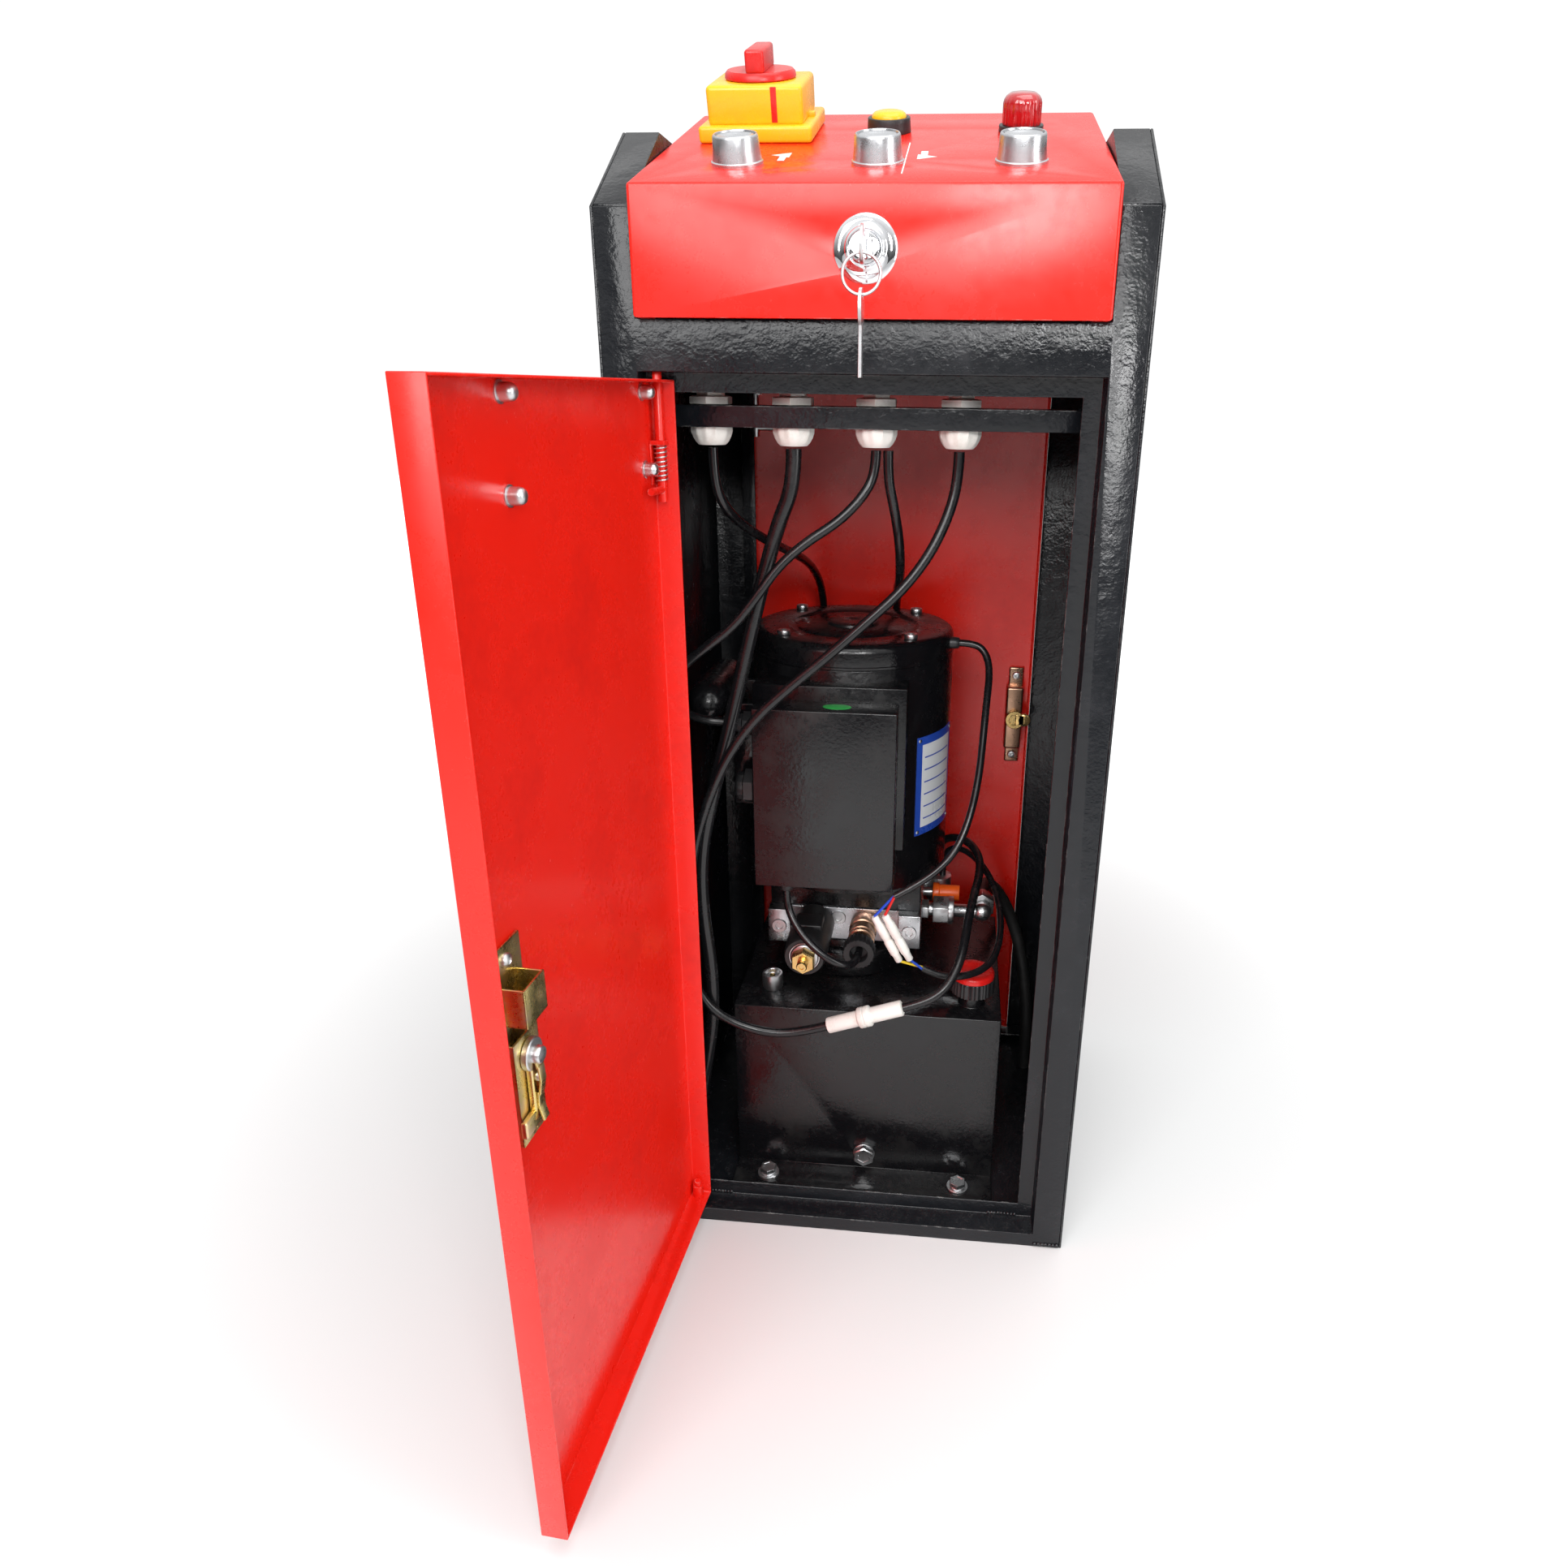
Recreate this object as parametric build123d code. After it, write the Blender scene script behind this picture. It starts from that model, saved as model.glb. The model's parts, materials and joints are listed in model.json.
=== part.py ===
"""Control and power-pack cabinet of a vehicle lift: a steel cabinet with a red operator console,
two doors, and an electric hydraulic power pack inside. Millimetres, +Z up, front towards -Y,
origin on the floor under the middle of the cabinet. The front door stands open at rest."""
from build123d import *
from math import atan2, cos, degrees, pi, radians, sin, sqrt, tan
import os

# ---- cabinet ----
WIDTH = 340.0
DEPTH = 300.0
FRONT_HEIGHT = 767.0            # height of the front, where the sloped shoulder starts
SHOULDER_RUN = 76.0
SHOULDER_RISE = 54.0
SHEET = 2.0                     # cabinet steel
POST = 24.0                     # width of the front face beside the door opening
OPENING_BOTTOM = 12.0
OPENING_TOP = 674.0
RECESS = 20.0                   # from the front face back to the door stop
STOP_LIP = 12.0
REAR_POST = 33.0
REAR_OPENING_TOP = 704.0
REAR_RAIL_DEPTH = 20.0
REAR_RETURN = 17.0              # fold of the rear post forward, beside the hinged edge of the door
REAR_LIP = 12.0

# ---- doors ----
DOOR_SHEET = 1.5
DOOR_FLANGE = 17.0
REAR_DOOR_FLANGE = 12.0
DOOR_SETBACK = 1.0              # door face behind the cabinet face
HINGE_TO_EDGE = 6.0             # pivot axis to the hinged edge of the door
HINGE_TO_FACE = 7.5             # pivot axis to the outer face of the door
HINGE_TO_POST = 10.0            # pivot axis to the edge of the opening
DOOR_SIDE_GAP = 1.0
DOOR_END_GAP = 4.5
OPEN_ANGLE = 94.0               # front door as it stands at rest
PIN_RADIUS = 3.0
PIN_REACH = 1.5                 # hinge pins past the sheet they turn in
STUD_X = (-122.0, 60.0)
STUD_Z = (615.0, 662.0)
LATCH_X = 116.0
LATCH_Z = 340.0
REAR_LATCH_X = 122.0
REAR_LATCH_Z = 368.0

# ---- console ----
CONSOLE_WIDTH = 289.0
CONSOLE_BOTTOM = 705.0
CONSOLE_FRONT_TOP = 778.0
CONSOLE_PROUD = 8.0             # console front in front of the cabinet front
CONSOLE_SLOPE = 21.0            # degrees
CONSOLE_RUN = 206.0             # front to back
CONSOLE_GAP = 0.8
CONSOLE_LEDGE = 10.0
BUTTON_X = (-87.0, 0.5, 88.0)
BUTTON_ROW = 52.0               # along the slope from the front edge
SECOND_ROW = 150.0
LAMP_X = 90.0
BUTTON_TRAVEL = 4.0
BEZEL_RADIUS = 15.5
BEZEL_HEIGHT = 16.0
BUTTON_RADIUS = 12.0
SMALL_BEZEL_HEIGHT = 9.0
STEM_RADIUS = 4.0
SWITCH_X = -86.0
SWITCH_BASE = 76.0
SWITCH_BLOCK = 64.0
SWITCH_BASE_HEIGHT = 10.0
SWITCH_BLOCK_HEIGHT = 22.0
LOCK_X = -2.0
LOCK_Z = 743.0
LOCK_DISC_RADIUS = 19.2
PLUG_RADIUS = 8.5
BOW_RADIUS = 10.5
BOW_REACH = 21.0                # key bow in front of the console
RING_RADIUS = 11.0
RING_WIRE = 0.9
KEY_HOLE = 2.0
KEY_HANG = KEY_HOLE - RING_WIRE - 0.4

# ---- gland rail ----
RAIL_FRONT = -110.0
RAIL_TOP = 654.0
RAIL_LIP = 14.0
RAIL_DEPTH = 60.0
GLAND_Y = -92.0
GLAND_FIRST_X = -113.0
GLAND_PITCH = 57.0
GLAND_HEX = 27.0                # across flats
GLAND_DROP = 26.0               # under the rail top
GLAND_END = RAIL_TOP - GLAND_DROP - SHEET

# ---- power pack ----
PACK_X = -26.0
PACK_Y = 38.0
TANK_WIDTH = 228.0
TANK_FRONT = -79.0
TANK_BACK = 105.0
TANK_TOP = 167.0
TANK_WALL = 3.0
FOOT_FRONT = 32.0
FOOT_BACK = 25.0
FOOT_BOLT_X = 84.0
PUMP_FLANGE_RADIUS = 62.0
BLOCK_WIDTH = 136.0
BLOCK_DEPTH = 116.0
BLOCK_BOTTOM = 197.0
BLOCK_TOP = 229.0
BLOCK_EAR = 20.0
BLOCK_RECESS = 10.0
ADAPTER_TOP = 262.0
MOTOR_RADIUS = 86.0
MOTOR_WALL = 6.0
FRAME_TOP = 457.0
MOTOR_TOP = 477.0
SHAFT_RADIUS = 10.0
PUMP_SHAFT_RADIUS = 7.0
ROTOR_RADIUS = 44.0
ROTOR_GAP = 0.5
BEARING_RADIUS = 23.5
BEARING_WIDTH = 12.0
GEAR_TEETH = 12
GEAR_CENTRES = 30.0
GEAR_OUTER = 17.4
GEAR_ROOT = 12.2
GEAR_WIDTH = 14.0
GEAR_BOTTOM = 135.0
PORT_Z = 213.0
COIL_X = -54.0
COIL_RADIUS = 18.5
COIL_LENGTH = 62.0
CONNECTOR_X = -9.0
JUNCTION_LEFT = -91.5
JUNCTION_WIDTH = 111.5
JUNCTION_BOTTOM = 286.5
JUNCTION_HEIGHT = 149.0
JUNCTION_FRONT = -88.0
JUNCTION_BACK = -60.0
FILLER_X = 89.0
FILLER_Y = -52.0
CAP_RADIUS = 19.0
LOWER_X = -68.0                 # coil lead's grommet under the terminal cover
ELBOW_X = 97.0
ELBOW_Y = 27.0
HOSE_START_Y = 56.0
SWITCH_PORT_X = 56.0
SWITCH_PORT_Y = 78.0
SWITCH_PORT_TOP = 224.0
CAP_PORT_Y = 54.0
CAPACITOR_X = -133.0
CAPACITOR_Z = 429.0
CONNECTOR_START = (-30, -107, 171)
CONNECTOR_END = (32, -107, 193)

# ---- fits ----
RUN_FIT = 0.08                  # radial, between parts that turn or slide
SEAT_FIT = 0.05                 # radial, between fixed parts
SKIN = 0.3                      # smallest gap between bodies that don't touch

FRONT = -DEPTH / 2
BACK = DEPTH / 2
HALF = WIDTH / 2
BOW_Y = FRONT - CONSOLE_PROUD - BOW_REACH


def box(x, y, z):
    """A block from its low and high limits along each axis."""
    size = Box(x[1] - x[0], y[1] - y[0], z[1] - z[0])
    return Pos((x[0] + x[1]) / 2, (y[0] + y[1]) / 2, (z[0] + z[1]) / 2) * size


def rod(radius, start, end, top_radius=None):
    """A round bar, or a cone, between two points."""
    start, end = Vector(start), Vector(end)
    axis = end - start
    place = Plane(origin=start, z_dir=axis)
    if top_radius is None:
        shape = Cylinder(radius, axis.length, align=(Align.CENTER, Align.CENTER, Align.MIN))
    else:
        shape = Cone(radius, top_radius, axis.length, align=(Align.CENTER, Align.CENTER, Align.MIN))
    return place * shape


def hexagon(across_flats, start, end):
    """A hexagonal bar between two points."""
    start, end = Vector(start), Vector(end)
    axis = end - start
    face = Plane(origin=start, z_dir=axis) * RegularPolygon(across_flats / 2, 6, major_radius=False)
    return extrude(face, amount=axis.length, dir=axis.normalized())


def side_profile(points, x):
    """A slab with its outline in the YZ plane, between two X limits."""
    face = Plane.YZ.offset(x[0]) * Polygon(*points, align=None)
    return extrude(face, amount=x[1] - x[0], dir=(1, 0, 0))


def group(*pieces):
    """Separate solids that share one node."""
    return Compound(children=[solid for piece in pieces for solid in piece.solids()])


# ---- cabinet ----
def side_panels():
    outline = [(FRONT, 0), (FRONT, FRONT_HEIGHT), (FRONT + SHOULDER_RUN, FRONT_HEIGHT + SHOULDER_RISE),
               (BACK, FRONT_HEIGHT + SHOULDER_RISE), (BACK, 0)]
    left = side_profile(outline, (-HALF, -HALF + SHEET))
    left += box((-HALF, -HALF + REAR_POST), (BACK - SHEET, BACK), (SHEET, REAR_OPENING_TOP))
    right = mirror(left, Plane.YZ)
    edge, fold = -HALF + REAR_POST, BACK - SHEET - REAR_RETURN
    ends = (OPENING_BOTTOM, REAR_OPENING_TOP)
    left += box((edge - SHEET, edge), (fold, BACK), ends)
    left += box((edge - SHEET, edge - SHEET + REAR_LIP), (fold, fold + SHEET), ends)
    return group(left, right)


def door_opening():
    return (-HALF + POST, HALF - POST), (OPENING_BOTTOM, OPENING_TOP)


def ring(x, z, y, wall):
    """A rectangular ring around an opening, its inner edge at the given limits."""
    outer = box((x[0] - wall, x[1] + wall), y, (z[0] - wall, z[1] + wall))
    return outer - box(x, (y[0] - 1, y[1] + 1), z)


def front_frame():
    x, z = door_opening()
    plate = box((-HALF + SHEET, HALF - SHEET), (FRONT, FRONT + SHEET), (0, FRONT_HEIGHT))
    plate -= box(x, (FRONT - 1, FRONT + SHEET + 1), z)
    notch = CONSOLE_WIDTH / 2 + CONSOLE_GAP
    plate -= box((-notch, notch), (FRONT - 1, FRONT + SHEET + 1), (CONSOLE_BOTTOM, FRONT_HEIGHT + 1))
    walls = ring(x, z, (FRONT, FRONT + RECESS + SHEET), SHEET)
    lip_x = (x[0] + STOP_LIP, x[1] - STOP_LIP)
    lip_z = (z[0] + STOP_LIP, z[1] - STOP_LIP)
    stop = ring(lip_x, lip_z, (FRONT + RECESS, FRONT + RECESS + SHEET), STOP_LIP + SHEET)
    pin = front_hinge()
    hole = rod(PIN_RADIUS + RUN_FIT, (pin[0], pin[1], 1), (pin[0], pin[1], OPENING_TOP + 2 * SHEET))
    return plate + walls + stop - hole


def shoulder_angle():
    return degrees(atan2(SHOULDER_RISE, SHOULDER_RUN))


def top_cover():
    """Sloped shoulder, flat top and the upper rear wall, with the cut-out that holds the console."""
    top = FRONT_HEIGHT + SHOULDER_RISE
    knee = FRONT + SHOULDER_RUN
    drop = SHEET / cos(radians(shoulder_angle()))
    inner_knee = knee + SHEET * tan(radians(shoulder_angle() / 2))
    start = FRONT + SHEET
    start_z = FRONT_HEIGHT + SHEET * tan(radians(shoulder_angle()))
    outline = [(start, start_z), (knee, top), (BACK, top), (BACK, REAR_OPENING_TOP),
               (BACK - REAR_RAIL_DEPTH, REAR_OPENING_TOP), (BACK - REAR_RAIL_DEPTH, REAR_OPENING_TOP + SHEET),
               (BACK - SHEET, REAR_OPENING_TOP + SHEET), (BACK - SHEET, top - SHEET),
               (inner_knee, top - SHEET), (start, start_z - drop)]
    inside = HALF - SHEET
    cover = side_profile(outline, (-inside, inside))
    gap = CONSOLE_WIDTH / 2 + CONSOLE_GAP
    console_back = FRONT - CONSOLE_PROUD + CONSOLE_RUN
    cover -= box((-gap, gap), (FRONT - 1, console_back + CONSOLE_GAP), (CONSOLE_BOTTOM, top + 10))
    for side in (-1, 1):
        wall = sorted((side * gap, side * (gap + SHEET)))
        ledge = sorted((side * (gap - CONSOLE_LEDGE), side * (gap + SHEET)))
        cover += side_profile([(start, CONSOLE_BOTTOM - SHEET), (start, start_z - drop / 2),
                               (inner_knee, top - SHEET / 2), (console_back, top - SHEET / 2),
                               (console_back, CONSOLE_BOTTOM - SHEET)], wall)
        cover += box(ledge, (start, console_back), (CONSOLE_BOTTOM - SHEET, CONSOLE_BOTTOM))
    pin = rear_hinge()
    return cover - rod(PIN_RADIUS + RUN_FIT, (pin[0], pin[1], REAR_OPENING_TOP - 5),
                       (pin[0], pin[1], REAR_OPENING_TOP + 5))


def base_plate():
    x, z = door_opening()
    inside = HALF - SHEET
    plate = box((-inside, inside), (FRONT + RECESS + SHEET, BACK), (0, SHEET))
    plate += box((-inside, inside), (BACK - SHEET, BACK), (0, z[0] - SHEET))
    plate += box((-inside, inside), (BACK - REAR_RAIL_DEPTH, BACK), (z[0] - SHEET, z[0]))
    plate -= box((-HALF, -HALF + REAR_POST), (BACK - SHEET, BACK + 1), (SHEET, z[0] + 1))
    plate -= box((HALF - REAR_POST, HALF), (BACK - SHEET, BACK + 1), (SHEET, z[0] + 1))
    pin = rear_hinge()
    plate -= rod(PIN_RADIUS + RUN_FIT, (pin[0], pin[1], z[0] - 5), (pin[0], pin[1], z[0] + 5))
    for x_bolt, y_bolt in foot_bolts():
        plate -= rod(4.2, (x_bolt, y_bolt, -1), (x_bolt, y_bolt, SHEET + 1))
    return plate


def gland_x():
    return [GLAND_FIRST_X + GLAND_PITCH * number for number in range(4)]


def gland_rail():
    inside = HALF - SHEET
    rail = box((-inside, inside), (RAIL_FRONT, RAIL_FRONT + RAIL_DEPTH), (RAIL_TOP - SHEET, RAIL_TOP))
    rail += box((-inside, inside), (RAIL_FRONT, RAIL_FRONT + SHEET), (RAIL_TOP - RAIL_LIP, RAIL_TOP))
    for x in gland_x():
        rail -= rod(8.0 + SEAT_FIT, (x, GLAND_Y, RAIL_TOP - 5), (x, GLAND_Y, RAIL_TOP + 5))
    return rail


def cable_glands():
    glands = []
    for x in gland_x():
        low = RAIL_TOP - SHEET
        gland = rod(8.0, (x, GLAND_Y, low), (x, GLAND_Y, RAIL_TOP))
        gland += hexagon(GLAND_HEX, (x, GLAND_Y, low - 16), (x, GLAND_Y, low))
        gland += rod(12.5, (x, GLAND_Y, low - 16), (x, GLAND_Y, RAIL_TOP - GLAND_DROP - SHEET), 9.0)
        gland += hexagon(GLAND_HEX, (x, GLAND_Y, RAIL_TOP), (x, GLAND_Y, RAIL_TOP + 6))
        gland += rod(10.0, (x, GLAND_Y, RAIL_TOP + 6), (x, GLAND_Y, RAIL_TOP + 11))
        glands.append(gland)
    return group(*glands)


# ---- doors ----
def front_hinge():
    return -HALF + POST + HINGE_TO_POST, FRONT + DOOR_SETBACK + HINGE_TO_FACE


def rear_hinge():
    return -HALF + REAR_POST + HINGE_TO_POST, BACK - DOOR_SETBACK - HINGE_TO_FACE


def swung(shape):
    """Turns a piece of the closed front door to where the door stands at rest."""
    x, y = front_hinge()
    return Pos(x, y, 0) * Rot(0, 0, -OPEN_ANGLE) * Pos(-x, -y, 0) * shape


def front_door_limits():
    x, z = door_opening()
    across = (front_hinge()[0] - HINGE_TO_EDGE, x[1] - DOOR_SIDE_GAP)
    return across, (z[0] + DOOR_END_GAP, z[1] - DOOR_END_GAP)


def rear_door_limits():
    return ((rear_hinge()[0] - HINGE_TO_EDGE, HALF - REAR_POST - DOOR_SIDE_GAP),
            (OPENING_BOTTOM + DOOR_END_GAP, REAR_OPENING_TOP - DOOR_END_GAP))


def tray(x, y, z, open_side):
    """A folded pan: a sheet with flanges on its four edges; open_side is -1 or 1 along Y."""
    shell = box(x, y, z)
    inner_y = (y[0] - 1, y[1] - DOOR_SHEET) if open_side < 0 else (y[0] + DOOR_SHEET, y[1] + 1)
    hollow = box((x[0] + DOOR_SHEET, x[1] - DOOR_SHEET), inner_y, (z[0] + DOOR_SHEET, z[1] - DOOR_SHEET))
    return shell - hollow


def front_door_pan():
    x, z = front_door_limits()
    face = FRONT + DOOR_SETBACK
    pan = tray(x, (face, face + DOOR_FLANGE), z, 1)
    pin = front_hinge()
    pan -= rod(PIN_RADIUS + SEAT_FIT, (pin[0], pin[1], 0), (pin[0], pin[1], OPENING_TOP))
    return swung(pan)


def hinge_pins(pin, z, sheet_top, sheet_bottom):
    """Upper sprung bolt with its bracket, and lower pivot pin, on one door."""
    x, y = pin
    upper = rod(PIN_RADIUS, (x, y, z[1] - 76), (x, y, sheet_top + PIN_REACH))
    handle = rod(2.5, (x, y, z[1] - 68), (x + 22, y, z[1] - 68))
    bracket = box((x - 4.4, x + 5), (y - 5.9, y + 4.5), (z[1] - 40, z[1] - 37))
    bracket -= rod(PIN_RADIUS, (x, y, z[1] - 45), (x, y, z[1] - 30))
    lower = rod(PIN_RADIUS, (x, y, sheet_bottom - PIN_REACH), (x, y, z[0] + 16))
    collar = rod(4.4, (x, y, z[0] + DOOR_SHEET), (x, y, z[0] + 12))
    return upper + handle, bracket, lower + collar


def front_door_hardware():
    x, z = front_door_limits()
    face = FRONT + DOOR_SETBACK + DOOR_SHEET
    pins = hinge_pins(front_hinge(), z, OPENING_TOP + SHEET, OPENING_BOTTOM - SHEET)
    studs = []
    for stud_x in STUD_X:
        for stud_z in STUD_Z:
            stud = rod(2.5, (stud_x, face, stud_z), (stud_x, face + 9, stud_z))
            stud += hexagon(8.0, (stud_x, face + 1, stud_z), (stud_x, face + 5, stud_z))
            stud += rod(5.5, (stud_x, face, stud_z), (stud_x, face + 1, stud_z))
            studs.append(stud)
    return swung(group(*pins, *studs, front_latch_case()))


def front_latch_case():
    """Zinc-plated strap and case of the door latch, on the inner face of the door."""
    face = FRONT + DOOR_SETBACK + DOOR_SHEET
    strap = box((LATCH_X - 17, LATCH_X + 17), (face, face + 2), (LATCH_Z - 56, LATCH_Z + 62))
    case = box((LATCH_X - 14, LATCH_X + 14), (face + 2, face + 9), (LATCH_Z - 48, LATCH_Z + 14))
    bridge = box((LATCH_X - 9, LATCH_X + 9), (face + 2, face + 9), (LATCH_Z + 24, LATCH_Z + 46))
    bridge -= box((LATCH_X - 7, LATCH_X + 7), (face + 1, face + 7), (LATCH_Z + 23, LATCH_Z + 47))
    screw = rod(4.0, (LATCH_X, face + 2, LATCH_Z + 54), (LATCH_X, face + 5, LATCH_Z + 54))
    body = strap + case + bridge + screw
    return body - rod(4 + RUN_FIT, (LATCH_X, face + 3, LATCH_Z), (LATCH_X, face + 12, LATCH_Z))


def front_latch_claw():
    face = FRONT + DOOR_SETBACK + DOOR_SHEET
    low, high = face + 9 + SKIN, face + 13
    claw = rod(4.0, (LATCH_X, face + 4, LATCH_Z), (LATCH_X, high, LATCH_Z))
    claw += rod(9.0, (LATCH_X, low, LATCH_Z), (LATCH_X, high, LATCH_Z))
    claw += box((LATCH_X - 5, LATCH_X + 5), (low, high), (LATCH_Z - 38, LATCH_Z))
    claw += box((LATCH_X - 5, LATCH_X + 16), (low, high), (LATCH_Z - 42, LATCH_Z - 32))
    return swung(claw)


def rear_door_pan():
    x, z = rear_door_limits()
    face = BACK - DOOR_SETBACK
    pan = tray(x, (face - REAR_DOOR_FLANGE, face), z, -1)
    pin = rear_hinge()
    return pan - rod(PIN_RADIUS + SEAT_FIT, (pin[0], pin[1], 0), (pin[0], pin[1], REAR_OPENING_TOP))


def rear_door_hardware():
    x, z = rear_door_limits()
    pin = rear_hinge()
    upper, bracket, lower = hinge_pins(pin, z, REAR_OPENING_TOP + SHEET, OPENING_BOTTOM - SHEET)
    bracket = mirror(bracket, Plane.XZ.offset(-pin[1]))
    return group(upper, bracket, lower)


def rear_latch_body():
    """Black compression-latch case with an ear and a screw above and below."""
    inner = BACK - DOOR_SETBACK - DOOR_SHEET
    case = box((REAR_LATCH_X - 10, REAR_LATCH_X + 8), (inner - 16, inner),
               (REAR_LATCH_Z - 32, REAR_LATCH_Z + 32))
    ears = box((REAR_LATCH_X - 7, REAR_LATCH_X + 7), (inner - 4, inner),
               (REAR_LATCH_Z - 48, REAR_LATCH_Z + 48))
    body = case + ears
    for height in (-40, 40):
        body += rod(4.0, (REAR_LATCH_X, inner - 4, REAR_LATCH_Z + height),
                    (REAR_LATCH_X, inner - 7, REAR_LATCH_Z + height))
    pivot = (REAR_LATCH_X, inner - 12, REAR_LATCH_Z), (REAR_LATCH_X, inner - 17, REAR_LATCH_Z)
    return body - rod(5.0 + RUN_FIT, *pivot)


def rear_latch_lever():
    inner = BACK - DOOR_SETBACK - DOOR_SHEET
    low, high = inner - 21, inner - 16 - SKIN
    reach = HALF - REAR_POST - DOOR_SIDE_GAP - REAR_LATCH_X - 5.0
    lever = rod(5.0, (REAR_LATCH_X, inner - 12.4, REAR_LATCH_Z), (REAR_LATCH_X, low, REAR_LATCH_Z))
    lever += rod(9.0, (REAR_LATCH_X, high, REAR_LATCH_Z), (REAR_LATCH_X, low, REAR_LATCH_Z))
    lever += box((REAR_LATCH_X, REAR_LATCH_X + reach), (low, high), (REAR_LATCH_Z - 5, REAR_LATCH_Z + 5))
    tip = REAR_LATCH_X + reach
    return lever + rod(5.0, (tip, high, REAR_LATCH_Z), (tip, low, REAR_LATCH_Z))


# ---- console ----
def console_plane(along=0.0, x=0.0):
    """The sloped panel's plane at a distance from its front edge, its normal outwards."""
    tilt = radians(CONSOLE_SLOPE)
    origin = (x, FRONT - CONSOLE_PROUD + along * cos(tilt), CONSOLE_FRONT_TOP + along * sin(tilt))
    return Plane(origin=origin, x_dir=(1, 0, 0), z_dir=(0, -sin(tilt), cos(tilt)))


def upright(radius, low, high, top_radius=None):
    """A round bar or cone standing on a local plane between two heights."""
    return rod(radius, (0, 0, low), (0, 0, high), top_radius)


def console_box():
    tilt = radians(CONSOLE_SLOPE)
    front, back = FRONT - CONSOLE_PROUD, FRONT - CONSOLE_PROUD + CONSOLE_RUN
    back_top = CONSOLE_FRONT_TOP + CONSOLE_RUN * tan(tilt)
    half = CONSOLE_WIDTH / 2
    outer = [(front, CONSOLE_BOTTOM), (front, CONSOLE_FRONT_TOP), (back, back_top), (back, CONSOLE_BOTTOM)]
    thick = SHEET / cos(tilt)
    low = CONSOLE_BOTTOM - 1
    inner = [(front + SHEET, low), (front + SHEET, CONSOLE_FRONT_TOP - thick + SHEET * tan(tilt)),
             (back - SHEET, back_top - thick - SHEET * tan(tilt)), (back - SHEET, low)]
    shell = side_profile(outer, (-half, half)) - side_profile(inner, (-half + SHEET, half - SHEET))
    for side in (-1, 1):
        ledge = sorted((side * (half - SHEET), side * (half - SHEET - CONSOLE_LEDGE)))
        shell += box(ledge, (front + SHEET, back - SHEET), (CONSOLE_BOTTOM, CONSOLE_BOTTOM + SHEET))
    for x in BUTTON_X:
        shell -= console_plane(BUTTON_ROW, x) * upright(11.0 + SEAT_FIT, -5, 5)
    for x in (BUTTON_X[1], LAMP_X):
        shell -= console_plane(SECOND_ROW, x) * upright(11.0 + SEAT_FIT, -5, 5)
    shell -= console_plane(SECOND_ROW, SWITCH_X) * upright(14.0 + SEAT_FIT, -5, 5)
    return shell - rod(10.0 + SEAT_FIT, (LOCK_X, front - 1, LOCK_Z), (LOCK_X, front + SHEET + 1, LOCK_Z))


def bezel(height, base_radius, top_radius):
    """Guard ring with its sleeve through the panel, bored for the button."""
    shape = upright(base_radius, 0, height, top_radius) + upright(11.0, -SHEET, 0)
    shape -= upright(BUTTON_RADIUS + RUN_FIT, 3, height + 1)
    return shape - upright(STEM_RADIUS + RUN_FIT, -SHEET - 1, 4)


def button_bezels():
    ring_shape = bezel(BEZEL_HEIGHT, BEZEL_RADIUS, BEZEL_RADIUS - 1.6)
    return group(*[console_plane(BUTTON_ROW, x) * ring_shape for x in BUTTON_X])


def push_button(head_low, head_top, dish):
    shape = upright(BUTTON_RADIUS, head_low, head_top) + upright(STEM_RADIUS, -12, head_low)
    centre = head_top + sqrt(dish ** 2 - (BUTTON_RADIUS - 1) ** 2)
    return shape - Pos(0, 0, centre) * Sphere(dish)


def panel_button(x):
    return console_plane(BUTTON_ROW, x) * push_button(8, BEZEL_HEIGHT - 0.8, 28)


def stop_button():
    dome = upright(BUTTON_RADIUS, 7.5, 9.5) + upright(BUTTON_RADIUS, 9.5, 13, 8.5)
    return console_plane(SECOND_ROW, BUTTON_X[1]) * (dome + upright(STEM_RADIUS, -12, 7.5))


def switch_bodies():
    """Black plastic: contact blocks under the panel, the yellow button's ring and the lamp's holder."""
    block = Pos(0, 0, -SHEET - 16) * Box(28, 34, 32) - upright(STEM_RADIUS + RUN_FIT, -24, 0)
    pieces = [console_plane(BUTTON_ROW, x) * block for x in BUTTON_X]
    pieces.append(console_plane(SECOND_ROW, BUTTON_X[1]) * block)
    pieces.append(console_plane(SECOND_ROW, BUTTON_X[1]) * bezel(SMALL_BEZEL_HEIGHT, 15, 14.4))
    holder = upright(15, 0, 4) + upright(11, -30, 0)
    pieces.append(console_plane(SECOND_ROW, LAMP_X) * holder)
    switch = Pos(0, 0, -SHEET - 22) * Box(52, 52, 44) - upright(5 + RUN_FIT, -30, 0)
    pieces.append(console_plane(SECOND_ROW, SWITCH_X) * switch)
    return group(*pieces)


def pilot_lamp_lens():
    lens = upright(13, 4, 18) + upright(13, 18, 23, 9.5)
    return console_plane(SECOND_ROW, LAMP_X) * lens


def main_switch_base():
    plate = Pos(0, 0, SWITCH_BASE_HEIGHT / 2) * Box(SWITCH_BASE, SWITCH_BASE, SWITCH_BASE_HEIGHT)
    top = SWITCH_BASE_HEIGHT + SWITCH_BLOCK_HEIGHT
    block = Pos(0, 0, (SWITCH_BASE_HEIGHT + top) / 2) * Box(SWITCH_BLOCK, SWITCH_BLOCK, SWITCH_BLOCK_HEIGHT)
    shape = plate + block + upright(14, -SHEET, 0) - upright(5 + RUN_FIT, -SHEET - 1, top + 1)
    return console_plane(SECOND_ROW, SWITCH_X) * shape


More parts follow.
